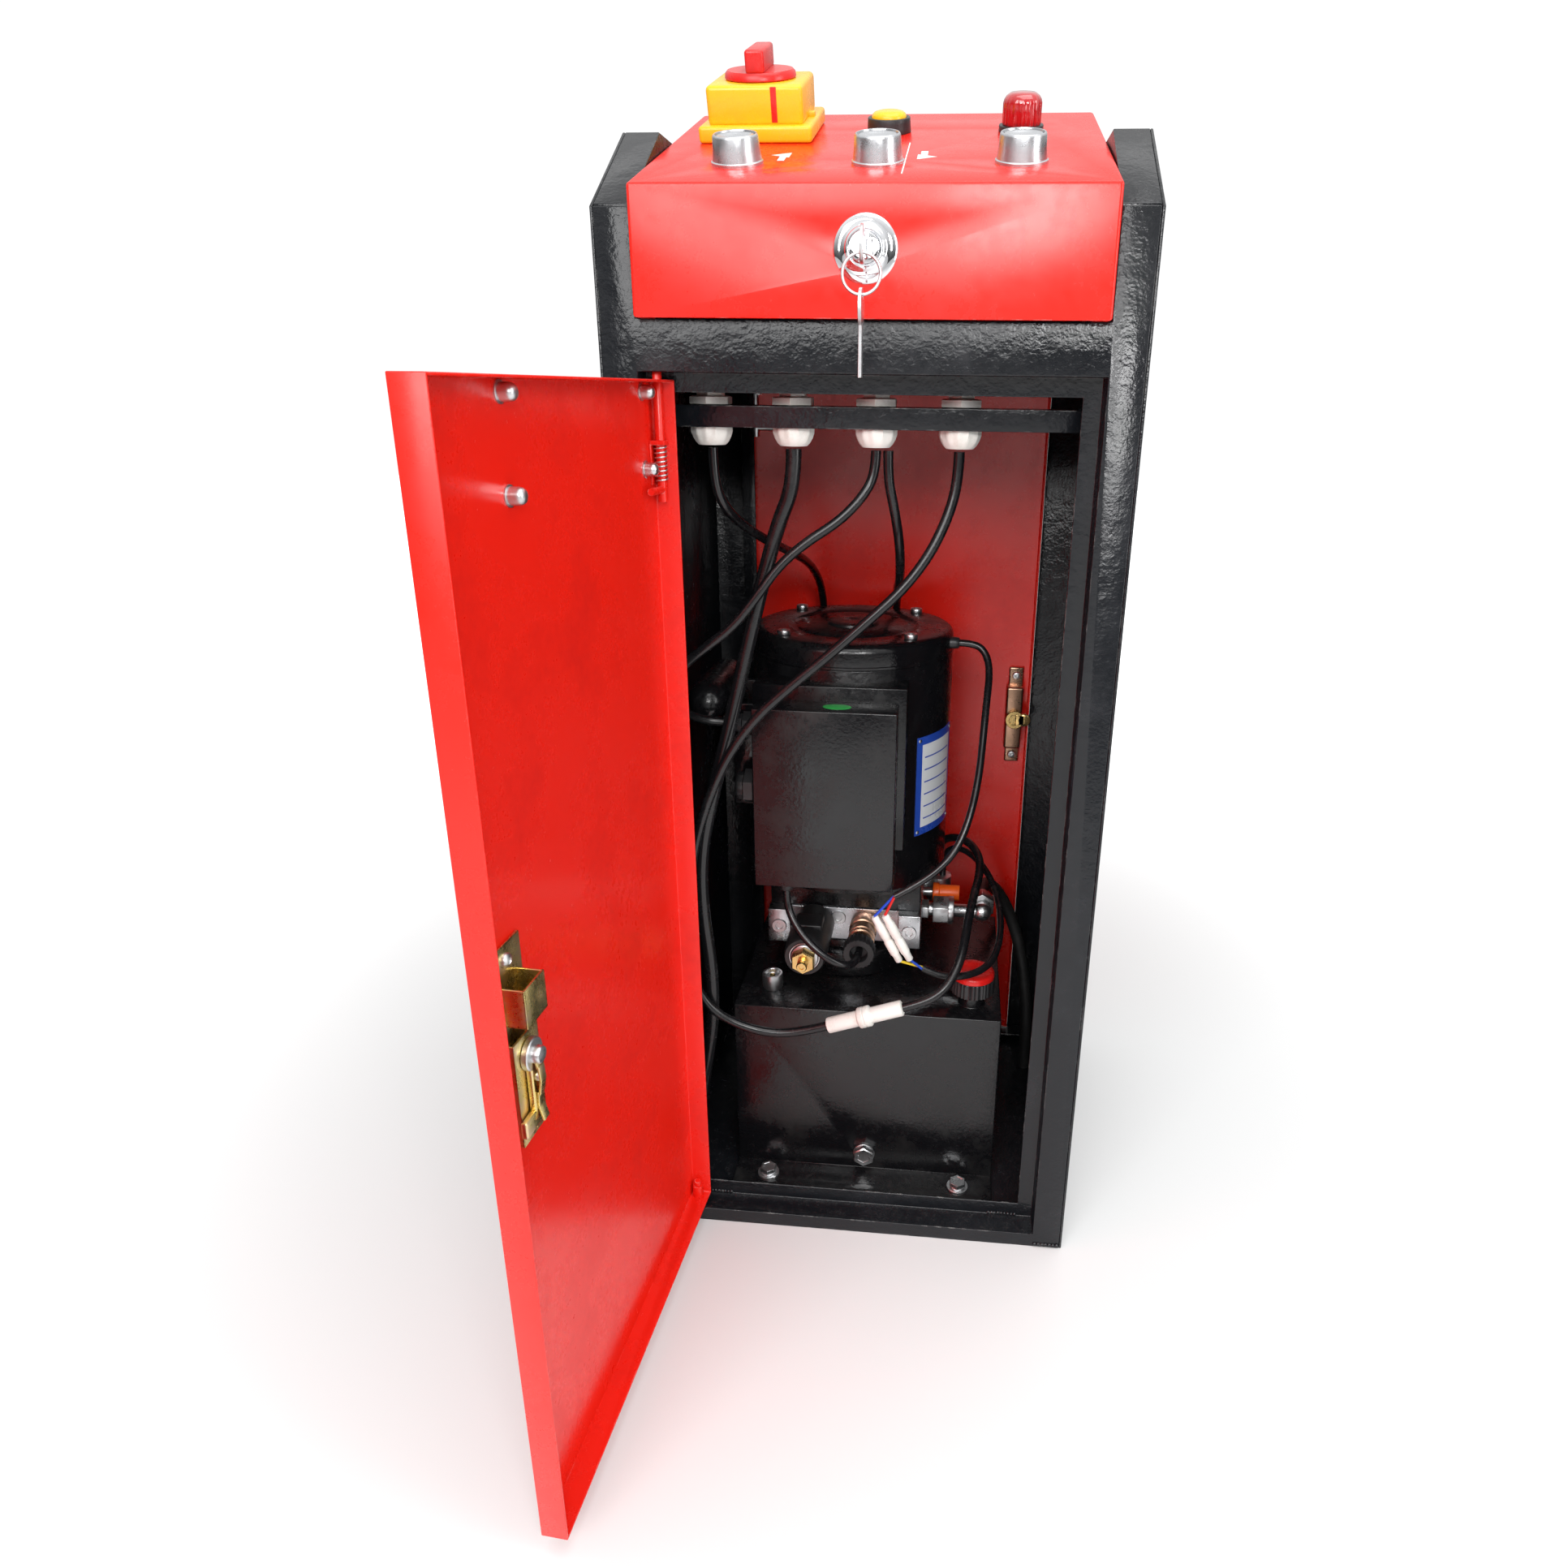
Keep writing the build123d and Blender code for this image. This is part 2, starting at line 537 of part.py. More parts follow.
def main_switch_handle():
    top = SWITCH_BASE_HEIGHT + SWITCH_BLOCK_HEIGHT + SKIN
    shape = upright(5, -20, top) + upright(24, top, top + 5, 22)
    shape += Pos(0, 0, top + 11.5) * Box(13, 44, 13)
    return console_plane(SECOND_ROW, SWITCH_X) * shape


def lock_body():
    front = FRONT - CONSOLE_PROUD
    disc = rod(LOCK_DISC_RADIUS, (LOCK_X, front, LOCK_Z), (LOCK_X, front - 5, LOCK_Z), 11.0)
    barrel = rod(10.0, (LOCK_X, front, LOCK_Z), (LOCK_X, front + 26, LOCK_Z))
    nut = hexagon(26, (LOCK_X, front + SHEET, LOCK_Z), (LOCK_X, front + 7, LOCK_Z))
    bore = rod(PLUG_RADIUS + RUN_FIT, (LOCK_X, front - 9, LOCK_Z), (LOCK_X, front + 30, LOCK_Z))
    return disc + barrel + nut - bore


def key_plug():
    front = FRONT - CONSOLE_PROUD
    plug = rod(PLUG_RADIUS, (LOCK_X, front - 6, LOCK_Z), (LOCK_X, front + 26 + SKIN, LOCK_Z))
    cam = box((LOCK_X - 7, LOCK_X + 7), (front + 26 + SKIN, front + 29), (LOCK_Z - 26, LOCK_Z + 8))
    slot = box((LOCK_X - 1.2, LOCK_X + 1.2), (front - 7, front + 16), (LOCK_Z - 4.2, LOCK_Z + 4.2))
    return plug + cam - slot


def key_bow(y, z):
    """Flat bow of a key with its ring hole, lying in the YZ plane."""
    return rod(BOW_RADIUS, (LOCK_X - 1, y, z), (LOCK_X + 1, y, z))


def key():
    front = FRONT - CONSOLE_PROUD
    blade = box((LOCK_X - 1, LOCK_X + 1), (BOW_Y, front + 14), (LOCK_Z - 4, LOCK_Z + 4))
    shape = key_bow(BOW_Y, LOCK_Z) + blade
    return shape - rod(KEY_HOLE, (LOCK_X - 3, BOW_Y - 4, LOCK_Z - 4), (LOCK_X + 3, BOW_Y - 4, LOCK_Z - 4))


def spare_key():
    y = BOW_Y - 4
    ring_z = LOCK_Z - 4 - KEY_HANG - RING_RADIUS
    wire = Plane(origin=(LOCK_X, y, ring_z), z_dir=(0, 1, 0)) * Torus(RING_RADIUS, RING_WIRE)
    hole_z = ring_z - RING_RADIUS - KEY_HANG
    bow_z = hole_z - 6
    shape = key_bow(y, bow_z) + box((LOCK_X - 1, LOCK_X + 1), (y - 4, y + 4), (bow_z - 38, bow_z))
    shape -= rod(KEY_HOLE, (LOCK_X - 3, y, hole_z), (LOCK_X + 3, y, hole_z))
    return group(wire, shape)


# ---- power pack ----
def foot_bolts():
    rows = (TANK_FRONT - FOOT_FRONT / 2, TANK_BACK + FOOT_BACK / 2)
    return [(x, y) for x in (-FOOT_BOLT_X, FOOT_BOLT_X) for y in rows]


def tank():
    half = TANK_WIDTH / 2
    shell = box((-half, half), (TANK_FRONT, TANK_BACK), (SHEET, TANK_TOP))
    shell -= box((-half + TANK_WALL, half - TANK_WALL), (TANK_FRONT + TANK_WALL, TANK_BACK - TANK_WALL),
                 (SHEET + TANK_WALL, TANK_TOP - TANK_WALL))
    shell += box((-half, half), (TANK_FRONT - FOOT_FRONT, TANK_BACK + FOOT_BACK), (SHEET, SHEET + TANK_WALL))
    shell -= rod(PUMP_FLANGE_RADIUS - 4, (PACK_X, PACK_Y, TANK_TOP - 10), (PACK_X, PACK_Y, TANK_TOP + 1))
    neck = rod(11, (FILLER_X, FILLER_Y, TANK_TOP), (FILLER_X, FILLER_Y, TANK_TOP + 12))
    shell += neck
    shell -= rod(8 + RUN_FIT, (FILLER_X, FILLER_Y, TANK_TOP - 10), (FILLER_X, FILLER_Y, TANK_TOP + 13))
    plug = level_plug()
    shell -= rod(5 + SEAT_FIT, (plug[0], plug[1], TANK_TOP - 10), (plug[0], plug[1], TANK_TOP + 1))
    shell -= rod(6 + SEAT_FIT, (0, TANK_FRONT - 1, 21), (0, TANK_FRONT + 5, 21))
    for x, y in foot_bolts():
        shell -= rod(4.2, (x, y, 1), (x, y, SHEET + TANK_WALL + 1))
    return shell


def level_plug():
    return -TANK_WIDTH / 2 + 28, TANK_FRONT + 32


def tank_plugs():
    """Level plug on the tank top and drain plug low on its front."""
    x, y = level_plug()
    level = rod(5, (x, y, TANK_TOP - TANK_WALL), (x, y, TANK_TOP))
    level += rod(9, (x, y, TANK_TOP), (x, y, TANK_TOP + 14))
    level -= rod(6.5, (x, y, TANK_TOP + 10), (x, y, TANK_TOP + 15))
    level += rod(2.5, (x, y, TANK_TOP + 9), (x, y, TANK_TOP + 12.5))
    drain = rod(6, (0, TANK_FRONT + TANK_WALL, 21), (0, TANK_FRONT, 21))
    drain += hexagon(17, (0, TANK_FRONT, 21), (0, TANK_FRONT - 7, 21))
    return group(level, drain)


def filler_cap():
    low = TANK_TOP + 12 + SKIN
    cap = rod(CAP_RADIUS, (FILLER_X, FILLER_Y, low), (FILLER_X, FILLER_Y, low + 17))
    cap += rod(CAP_RADIUS - 1, (FILLER_X, FILLER_Y, low + 17), (FILLER_X, FILLER_Y, low + 20))
    return cap + rod(8, (FILLER_X, FILLER_Y, TANK_TOP - 12), (FILLER_X, FILLER_Y, low))


def machine_screws():
    """Plated steel fasteners: four bolts on the tank feet, four screws in the motor cover."""
    pieces = []
    for x, y in foot_bolts():
        seat = SHEET + TANK_WALL
        bolt = rod(9.5, (x, y, seat), (x, y, seat + 1.6)) + hexagon(13, (x, y, seat + 1.6), (x, y, seat + 7))
        pieces.append(bolt + rod(4, (x, y, 0), (x, y, seat)))
    for angle in (45, 135, 225, 315):
        x, y = cover_screw(angle)
        screw = rod(3, (x, y, MOTOR_TOP - 12), (x, y, MOTOR_TOP))
        screw += rod(5.5, (x, y, MOTOR_TOP), (x, y, MOTOR_TOP + 4))
        pieces.append(screw)
    return group(*pieces)


def cover_screw(angle):
    reach = MOTOR_RADIUS - 13
    return PACK_X + reach * cos(radians(angle)), PACK_Y + reach * sin(radians(angle))


def pack_rod(radius, low, high, top_radius=None):
    """A round bar on the power pack's own upright axis."""
    return rod(radius, (PACK_X, PACK_Y, low), (PACK_X, PACK_Y, high), top_radius)


def block_limits():
    return ((PACK_X - BLOCK_WIDTH / 2, PACK_X + BLOCK_WIDTH / 2),
            (PACK_Y - BLOCK_DEPTH / 2, PACK_Y + BLOCK_DEPTH / 2))


def gear(x, shaft_radius, turn=0.0):
    """Spur gear with straight-sided teeth, thin enough to run clear of its mate."""
    top = GEAR_BOTTOM + GEAR_WIDTH
    wheel = rod(GEAR_ROOT, (x, PACK_Y, GEAR_BOTTOM), (x, PACK_Y, top))
    tooth_face = Polygon((GEAR_ROOT - 1, -2.3), (GEAR_OUTER, -1.0), (GEAR_OUTER, 1.0),
                         (GEAR_ROOT - 1, 2.3), align=None)
    tooth = extrude(tooth_face, amount=GEAR_WIDTH)
    for number in range(GEAR_TEETH):
        wheel += Pos(x, PACK_Y, GEAR_BOTTOM) * Rot(0, 0, turn + number * 360 / GEAR_TEETH) * tooth
    return wheel - rod(shaft_radius, (x, PACK_Y, GEAR_BOTTOM - 1), (x, PACK_Y, top + 1))


def pump_drive_gear():
    return gear(PACK_X, PUMP_SHAFT_RADIUS + 0.02)


def pump_driven_gear():
    x = PACK_X + GEAR_CENTRES
    journal = rod(6, (x, PACK_Y, GEAR_BOTTOM - 9), (x, PACK_Y, GEAR_BOTTOM + GEAR_WIDTH + 9))
    return gear(x, 5, 180 / GEAR_TEETH) + journal


def pump_housing():
    """Pump body hung under its round flange, with the suction pipe and strainer below it."""
    driven = PACK_X + GEAR_CENTRES
    floor = GEAR_BOTTOM - 17
    body = pack_rod(PUMP_FLANGE_RADIUS, TANK_TOP, BLOCK_BOTTOM - 7)
    body += pack_rod(PUMP_FLANGE_RADIUS - 12, BLOCK_BOTTOM - 7, BLOCK_BOTTOM)
    reach = GEAR_OUTER + 4
    body += box((PACK_X - reach, driven + reach), (PACK_Y - reach, PACK_Y + reach), (floor, TANK_TOP))
    low, high = GEAR_BOTTOM - 0.4, GEAR_BOTTOM + GEAR_WIDTH + 0.4
    for x in (PACK_X, driven):
        body -= rod(GEAR_OUTER + 0.4, (x, PACK_Y, low), (x, PACK_Y, high))
    body -= pack_rod(PUMP_SHAFT_RADIUS + RUN_FIT, GEAR_BOTTOM - 10, BLOCK_BOTTOM + 1)
    body -= rod(6 + RUN_FIT, (driven, PACK_Y, GEAR_BOTTOM - 10), (driven, PACK_Y, high + 10))
    pipe_x = PACK_X - 12
    pipe = rod(6, (pipe_x, PACK_Y, floor - 70), (pipe_x, PACK_Y, floor))
    strainer = rod(17, (pipe_x, PACK_Y, floor - 98), (pipe_x, PACK_Y, floor - 70))
    return group(body, pipe + strainer)


def manifold_block():
    x, y = block_limits()
    block = box(x, y, (BLOCK_BOTTOM, BLOCK_TOP))
    block -= box((x[0] + BLOCK_EAR, x[1] - BLOCK_EAR), (y[0] - 1, y[0] + BLOCK_RECESS),
                 (BLOCK_BOTTOM - 1, BLOCK_TOP + 1))
    return block - pack_rod(SHAFT_RADIUS + 3, BLOCK_BOTTOM - 1, BLOCK_TOP + 1)


def pump_adapter():
    x, y = block_limits()
    body = box((x[0] + 1, x[1] - 1), (y[0] + BLOCK_RECESS + 1, y[1] - 1), (BLOCK_TOP, ADAPTER_TOP))
    body -= pack_rod(SHAFT_RADIUS + 6, BLOCK_TOP - 1, ADAPTER_TOP + 1)
    return body - pack_rod(BEARING_RADIUS + SEAT_FIT, ADAPTER_TOP - BEARING_WIDTH, ADAPTER_TOP + 1)


def motor_frame():
    low = ADAPTER_TOP
    bore = pack_rod(MOTOR_RADIUS - MOTOR_WALL, low - 1, FRAME_TOP + 1)
    return pack_rod(MOTOR_RADIUS, low, FRAME_TOP) - bore


def motor_end_cover():
    cover = pack_rod(MOTOR_RADIUS, FRAME_TOP, MOTOR_TOP - 4)
    cover += pack_rod(MOTOR_RADIUS, MOTOR_TOP - 4, MOTOR_TOP, MOTOR_RADIUS - 4)
    cover += pack_rod(22, MOTOR_TOP, MOTOR_TOP + 3, 20)
    cover -= pack_rod(BEARING_RADIUS + SEAT_FIT, FRAME_TOP - 1, FRAME_TOP + BEARING_WIDTH)
    cover -= pack_rod(SHAFT_RADIUS + 2, FRAME_TOP - 1, MOTOR_TOP - 4)
    for angle in (45, 135, 225, 315):
        x, y = cover_screw(angle)
        cover -= rod(3.05, (x, y, MOTOR_TOP - 12.05), (x, y, MOTOR_TOP + 1))
    y, z = thermal_exit()
    return cover - rod(5 + SEAT_FIT, (PACK_X + 40, y, z), (PACK_X + 90, y, z))


def thermal_exit():
    return PACK_Y - 18, FRAME_TOP + 10


def stator():
    low, high = ADAPTER_TOP + 26, FRAME_TOP - 26
    outer = MOTOR_RADIUS - MOTOR_WALL - SEAT_FIT
    core = pack_rod(outer, low + 14, high - 14)
    coils = pack_rod(outer - 6, low, high)
    return core + coils - pack_rod(ROTOR_RADIUS + ROTOR_GAP, low - 1, high + 1)


def rotor():
    core = pack_rod(ROTOR_RADIUS, ADAPTER_TOP + 40, FRAME_TOP - 40)
    shaft = pack_rod(SHAFT_RADIUS, BLOCK_BOTTOM + SKIN, FRAME_TOP + BEARING_WIDTH)
    return core + shaft + pack_rod(PUMP_SHAFT_RADIUS, GEAR_BOTTOM - 8, BLOCK_BOTTOM + SKIN)


def motor_bearings():
    bearings = []
    for low in (ADAPTER_TOP - BEARING_WIDTH, FRAME_TOP):
        bearing = pack_rod(BEARING_RADIUS, low, low + BEARING_WIDTH)
        bearings.append(bearing - pack_rod(SHAFT_RADIUS + RUN_FIT, low - 1, low + BEARING_WIDTH + 1))
    return group(*bearings)


def junction_limits():
    return ((JUNCTION_LEFT, JUNCTION_LEFT + JUNCTION_WIDTH),
            (JUNCTION_BOTTOM, JUNCTION_BOTTOM + JUNCTION_HEIGHT))


def junction_box():
    """Terminal cover, open at the back, and the saddle that seats it on the round motor."""
    x, z = junction_limits()
    cover = box(x, (JUNCTION_FRONT, JUNCTION_BACK), z)
    cover -= box((x[0] + 2, x[1] - 2), (JUNCTION_FRONT + 2, JUNCTION_BACK + 1), (z[0] + 2, z[1] - 2))
    saddle = box((x[0] - 4, x[1] + 6), (JUNCTION_BACK, PACK_Y - 50), (z[0] + 24, z[1] + 12))
    saddle -= pack_rod(MOTOR_RADIUS + SEAT_FIT, z[0], z[1] + 20)
    saddle -= box((x[0] + 20, x[1] - 20), (JUNCTION_BACK - 1, PACK_Y), (z[0] + 40, z[1] - 20))
    return group(cover, saddle)


def junction_entry():
    """Where the motor lead goes into the terminal cover: its gland's end on the left."""
    return JUNCTION_LEFT - 17, (JUNCTION_FRONT + JUNCTION_BACK) / 2, JUNCTION_BOTTOM + JUNCTION_HEIGHT - 16


def junction_glands():
    """Black plastic glands and grommets of the motor's leads."""
    x, y, z = junction_entry()
    lead = hexagon(17, (JUNCTION_LEFT, y, z), (JUNCTION_LEFT - 9, y, z))
    lead += rod(7.5, (JUNCTION_LEFT - 9, y, z), (x, y, z), 5.5)
    blank_z = z - 52
    blank = hexagon(25, (JUNCTION_LEFT, y, blank_z), (JUNCTION_LEFT - 9, y, blank_z))
    blank += rod(11, (JUNCTION_LEFT - 9, y, blank_z), (JUNCTION_LEFT - 15, y, blank_z), 9)
    exit_y, exit_z = thermal_exit()
    grommet = rod(5, (PACK_X + 60, exit_y, exit_z), (PACK_X + MOTOR_RADIUS + 5, exit_y, exit_z))
    lower = rod(7, (LOWER_X, y, JUNCTION_BOTTOM), (LOWER_X, y, JUNCTION_BOTTOM - 8), 5.5)
    return group(lead, blank, grommet, lower)


def capacitor_cover():
    """Rounded black cover on the left of the motor, on a strap to the saddle."""
    x, z = CAPACITOR_X, CAPACITOR_Z
    body = rod(17, (x, -48, z), (x, 22, z)) + Pos(x, -48, z) * Sphere(17) + Pos(x, 22, z) * Sphere(17)
    strap = box((x, PACK_X - 40), (-12, -8), (z - 8, z + 8))
    strap -= pack_rod(MOTOR_RADIUS + SEAT_FIT, z - 20, z + 20)
    return body + strap


def solenoid_coil():
    face = block_limits()[1][0] + BLOCK_RECESS
    coil = rod(COIL_RADIUS, (COIL_X, face, PORT_Z), (COIL_X, face - COIL_LENGTH, PORT_Z))
    return coil - rod(13, (COIL_X, face - COIL_LENGTH + 2, PORT_Z), (COIL_X, face - COIL_LENGTH - 1, PORT_Z))


def coil_nut():
    seat = block_limits()[1][0] + BLOCK_RECESS - COIL_LENGTH + 2
    nut = rod(11.5, (COIL_X, seat, PORT_Z), (COIL_X, seat - 3, PORT_Z))
    nut += hexagon(19, (COIL_X, seat - 3, PORT_Z), (COIL_X, seat - 12, PORT_Z))
    return nut + rod(4.5, (COIL_X, seat - 12, PORT_Z), (COIL_X, seat - 19, PORT_Z))


def connector_limits():
    face = block_limits()[1][0] + BLOCK_RECESS
    return face, face - 40, face - 52


def valve_connector():
    """Second valve cartridge with the round connector on its end."""
    face, ring_start, end = connector_limits()
    barrel = rod(11, (CONNECTOR_X, face, PORT_Z), (CONNECTOR_X, ring_start, PORT_Z))
    collar = rod(14, (CONNECTOR_X, ring_start, PORT_Z), (CONNECTOR_X, end, PORT_Z))
    collar -= rod(7, (CONNECTOR_X, ring_start, PORT_Z), (CONNECTOR_X, end - 1, PORT_Z))
    return barrel + collar


def outlet_fittings():
    """Union and elbow of the pressure line, nipple of the spare port, and the pressure switch."""
    face = block_limits()[0][1]
    union = hexagon(17, (face, ELBOW_Y, PORT_Z), (face + 6, ELBOW_Y, PORT_Z))
    union += rod(6, (face + 6, ELBOW_Y, PORT_Z), (face + 10, ELBOW_Y, PORT_Z))
    union += hexagon(24, (face + 10, ELBOW_Y, PORT_Z), (face + 24, ELBOW_Y, PORT_Z))
    union += rod(13, (face + 24, ELBOW_Y, PORT_Z), (face + 29, ELBOW_Y, PORT_Z))
    union += rod(6, (face + 29, ELBOW_Y, PORT_Z), (ELBOW_X, ELBOW_Y, PORT_Z))
    union += Pos(ELBOW_X, ELBOW_Y, PORT_Z) * Sphere(6)
    union += rod(6, (ELBOW_X, ELBOW_Y, PORT_Z), (ELBOW_X, HOSE_START_Y - 14, PORT_Z))
    union += hexagon(22, (ELBOW_X, HOSE_START_Y - 20, PORT_Z), (ELBOW_X, HOSE_START_Y - 9, PORT_Z))
    union += rod(9, (ELBOW_X, HOSE_START_Y - 9, PORT_Z), (ELBOW_X, HOSE_START_Y, PORT_Z))
    nipple = rod(4, (face, CAP_PORT_Y, PORT_Z + 4), (face + 9, CAP_PORT_Y, PORT_Z + 4))
    switch = rod(5, (face, SWITCH_PORT_Y, PORT_Z), (SWITCH_PORT_X, SWITCH_PORT_Y, PORT_Z))
    switch += rod(12, (SWITCH_PORT_X, SWITCH_PORT_Y, PORT_Z - 13),
                  (SWITCH_PORT_X, SWITCH_PORT_Y, SWITCH_PORT_TOP))
    return group(union, nipple, switch)


def port_cap():
    face = block_limits()[0][1] + 9
    return rod(9, (face, CAP_PORT_Y, PORT_Z + 4), (face + 6, CAP_PORT_Y, PORT_Z + 4)) + \
        rod(7.5, (face + 6, CAP_PORT_Y, PORT_Z + 4), (face + 25, CAP_PORT_Y, PORT_Z + 4))


# ---- leads and hose: each route is a list of points chosen by hand ----
def flexible(name, diameter, points):
    """A tube of straight runs joined by arcs as large as the two runs at each corner allow."""
    route = [Vector(*point) for point in points]
    radii = []
    for before, corner, after in zip(route, route[1:], route[2:]):
        turn = (corner - before).get_angle(after - corner)
        run = min((corner - before).length, (after - corner).length)
        radii.append(0.45 * run / tan(radians(turn / 2)))
    path = FilletPolyline(*points, radius=radii)
    start = Plane(origin=route[0], z_dir=route[1] - route[0])
    tube = sweep(start * Circle(diameter / 2), path=path)
    length = path.length
    ideal = pi * diameter ** 2 / 4 * length
    print(f"{name}: length {length:.0f}, smallest radius {min(radii):.1f} "
          f"({min(radii) / diameter:.1f} diameters), volume ratio {tube.volume / ideal:.4f}")
    return tube


def lead_routes():
    x = gland_x()
    entry = junction_entry()
    exit_y, exit_z = thermal_exit()
    lower_y = (JUNCTION_FRONT + JUNCTION_BACK) / 2
    block_y = block_limits()[1]
    return {
        "lead_valve_rear": (7.0, [
            (x[0], GLAND_Y, GLAND_END), (x[0], GLAND_Y, 608), (-110, -88, 590), (-101, -74, 574),
            (-88, -52, 560), (-78, -20, 548), (-72, 18, 537), (-68, 54, 526), (-65, 86, 512), (-63, 114, 492),
            (-62, 129, 462), (-61, 135, 425), (-60, 137, 380), (-59, 136, 330), (-58, 137, 288),
            (-57, 136, 258),
            (-56, 132, 236), (-56, 120, 219), (-56, 106, PORT_Z), (-56, block_y[1], PORT_Z)]),
        "lead_supply": (11.0, [
            (x[1], GLAND_Y, GLAND_END), (x[1], GLAND_Y, 602), (-68, -91, 574), (-78, -90, 540),
            (-87, -92, 505), (-97, -95, 462), (-108, -99, 415), (-121, -103, 366), (-131, -104, 318),
            (-132, -102, 268), (-127, -100, 218), (-127, -99, 168), (-135, -96, 122), (-143, -88, 80),
            (-148, -76, 44), (-148, -76, SHEET)]),
        "lead_motor": (7.0, [
            (x[2], GLAND_Y, GLAND_END), (x[2], GLAND_Y, 610), (-8, -96, 594), (-24, -99, 578),
            (-46, -101, 564),
            (-66, -104, 547), (-82, -108, 524), (-98, -110, 504), (-117, -110, 489), (-134, -108, 476),
            (-146, -104, 462), (-150, -97, 447), (-146, -89, 433), (-136, -80, 424),
            (entry[0] - 13, entry[1], entry[2]), entry]),
        "lead_pump": (7.0, [
            (x[2] + 8.5, GLAND_Y, GLAND_END), (x[2] + 8.5, GLAND_Y, 608), (14, -88, 588), (18, -76, 562),
            (18, -54, 536), (15, -22, 520), (12, 16, 511), (10, 54, 506), (8, 88, 502), (7, 115, 489),
            (5, 130, 462), (4, 135, 425), (3, 137, 380), (2, 136, 330), (1, 137, 288), (1, 136, 258),
            (0, 132, 236), (0, 120, 219), (0, 106, PORT_Z), (0, block_y[1], PORT_Z)]),
        "lead_valve_upper": (7.5, [
            (x[3], GLAND_Y, GLAND_END), (x[3], GLAND_Y, 606), (52, -95, 582), (40, -100, 556),
            (22, -104, 532),
            (-4, -107, 508), (-30, -109, 484), (-56, -111, 462), (-82, -113, 438), (-104, -114, 408),
            (-121, -114, 370), (-134, -113, 328), (-141, -112, 282), (-143, -111, 238), (-139, -111, 205),
            (-126, -110, 181), (-103, -109, 167), (-75, -108, 160.5), (-48.6, -107, 164.4), CONNECTOR_START]),
        "lead_valve_lower": (7.5, [
            CONNECTOR_END, (50.6, -107, 199.6), (65, -102, 209), (75, -90, 222), (80, -70, 235),
            (83, -46, 246),
            (87, -20, 253), (92, 8, 258), (93, 33, 264), (85, 54, 269), (71, 69, 269), (57, 77, 261),
            (SWITCH_PORT_X - 4.5, SWITCH_PORT_Y, 244),
            (SWITCH_PORT_X - 4.5, SWITCH_PORT_Y, SWITCH_PORT_TOP)]),
        "lead_thermal": (6.0, [
            (PACK_X + MOTOR_RADIUS + 5, exit_y, exit_z), (PACK_X + MOTOR_RADIUS + 19, exit_y, exit_z),
            (88, 16, 459), (91, 6, 446), (89, -12, 426), (87, -34, 401), (85, -50, 376), (80, -66, 350),
            (72, -78, 328), (60, -86, 312), (40, -92, 297), (22, -95, 287)]),
        "lead_thermal_tail": (6.0, [
            (46, -89, 220), (60, -90, 214), (76, -85, 211), (92, -76, 211), (104, -64, 215), (110, -44, 221),
            (112, -20, 227), (111, 6, 233), (106, 29, 241), (97, 48, 249), (85, 63, 255), (72, 73, 256),
            (63, 77.5, 250), (SWITCH_PORT_X + 3.5, SWITCH_PORT_Y, 238),
            (SWITCH_PORT_X + 3.5, SWITCH_PORT_Y, SWITCH_PORT_TOP)]),
        "lead_coil": (6.5, [
            (LOWER_X, lower_y, JUNCTION_BOTTOM - 8), (LOWER_X, lower_y, 266), (-63, -79, 253),
            (-52, -86, 240),
            (-38, -91, 229), (-24, -91, 220), (-13, -82, 214), (CONNECTOR_X, -68, PORT_Z),
            (CONNECTOR_X, connector_limits()[1], PORT_Z)]),
        "pressure_hose": (12.0, [
            (ELBOW_X, HOSE_START_Y, PORT_Z), (ELBOW_X, 76, PORT_Z), (102, 97, 209), (113, 113, 195),
            (126, 119, 172),
            (138, 116, 142), (146, 107, 108), (151, 97, 72), (152, 91, 38), (152, 91, SHEET)]),
    }


def wire_connectors():
    """White in-line coupling of the valve lead and the two bullet couplings of the thermal switch."""
    start, end = Vector(*CONNECTOR_START), Vector(*CONNECTOR_END)
    along = (end - start).normalized()
    middle = (start + end) * 0.5
    inline = rod(6.5, start, end) + rod(8.6, middle - along * 5, middle + along * 5)
    pieces = [inline]
    sheath_end, tail_start = Vector(22, -95, 287), Vector(46, -89, 220)
    for side, shift in ((-1.4, (0, 0, 0)), (1.4, (-8.5, 0.5, -2))):
        top, bottom = Vector(15, -97, 271) + Vector(*shift), Vector(36, -94, 230) + Vector(*shift)
        upper, lower = sheath_end + Vector(0, side, 0), tail_start + Vector(0, side, 0)
        pieces.append(rod(3.9, top, bottom) + rod(1.1, upper, top) + rod(1.1, bottom, lower))
    return group(*pieces)


def all_parts():
    parts = {function.__name__: function for function in (
        side_panels, front_frame, top_cover, base_plate, gland_rail, cable_glands,
        front_door_pan, front_door_hardware, front_latch_claw,
        rear_door_pan, rear_door_hardware, rear_latch_body, rear_latch_lever,
        console_box, button_bezels, stop_button, switch_bodies, pilot_lamp_lens,
        main_switch_base, main_switch_handle, lock_body, key_plug, key, spare_key,
        tank, tank_plugs, filler_cap, machine_screws, pump_drive_gear, pump_driven_gear,
        pump_housing, manifold_block, pump_adapter, motor_frame, motor_end_cover, stator, rotor,
        motor_bearings, junction_box, junction_glands, capacitor_cover, solenoid_coil, coil_nut,
        valve_connector, outlet_fittings, port_cap, wire_connectors)}
    shapes = {name: function() for name, function in parts.items()}
    for name, x in zip(("raise_button", "lower_button", "park_button"), BUTTON_X):
        shapes[name] = panel_button(x)
    for name, (diameter, points) in lead_routes().items():
        shapes[name] = flexible(name, diameter, points)
    return shapes


os.makedirs("parts", exist_ok=True)
for node, shape in all_parts().items():
    export_step(shape, f"parts/{node}.step")
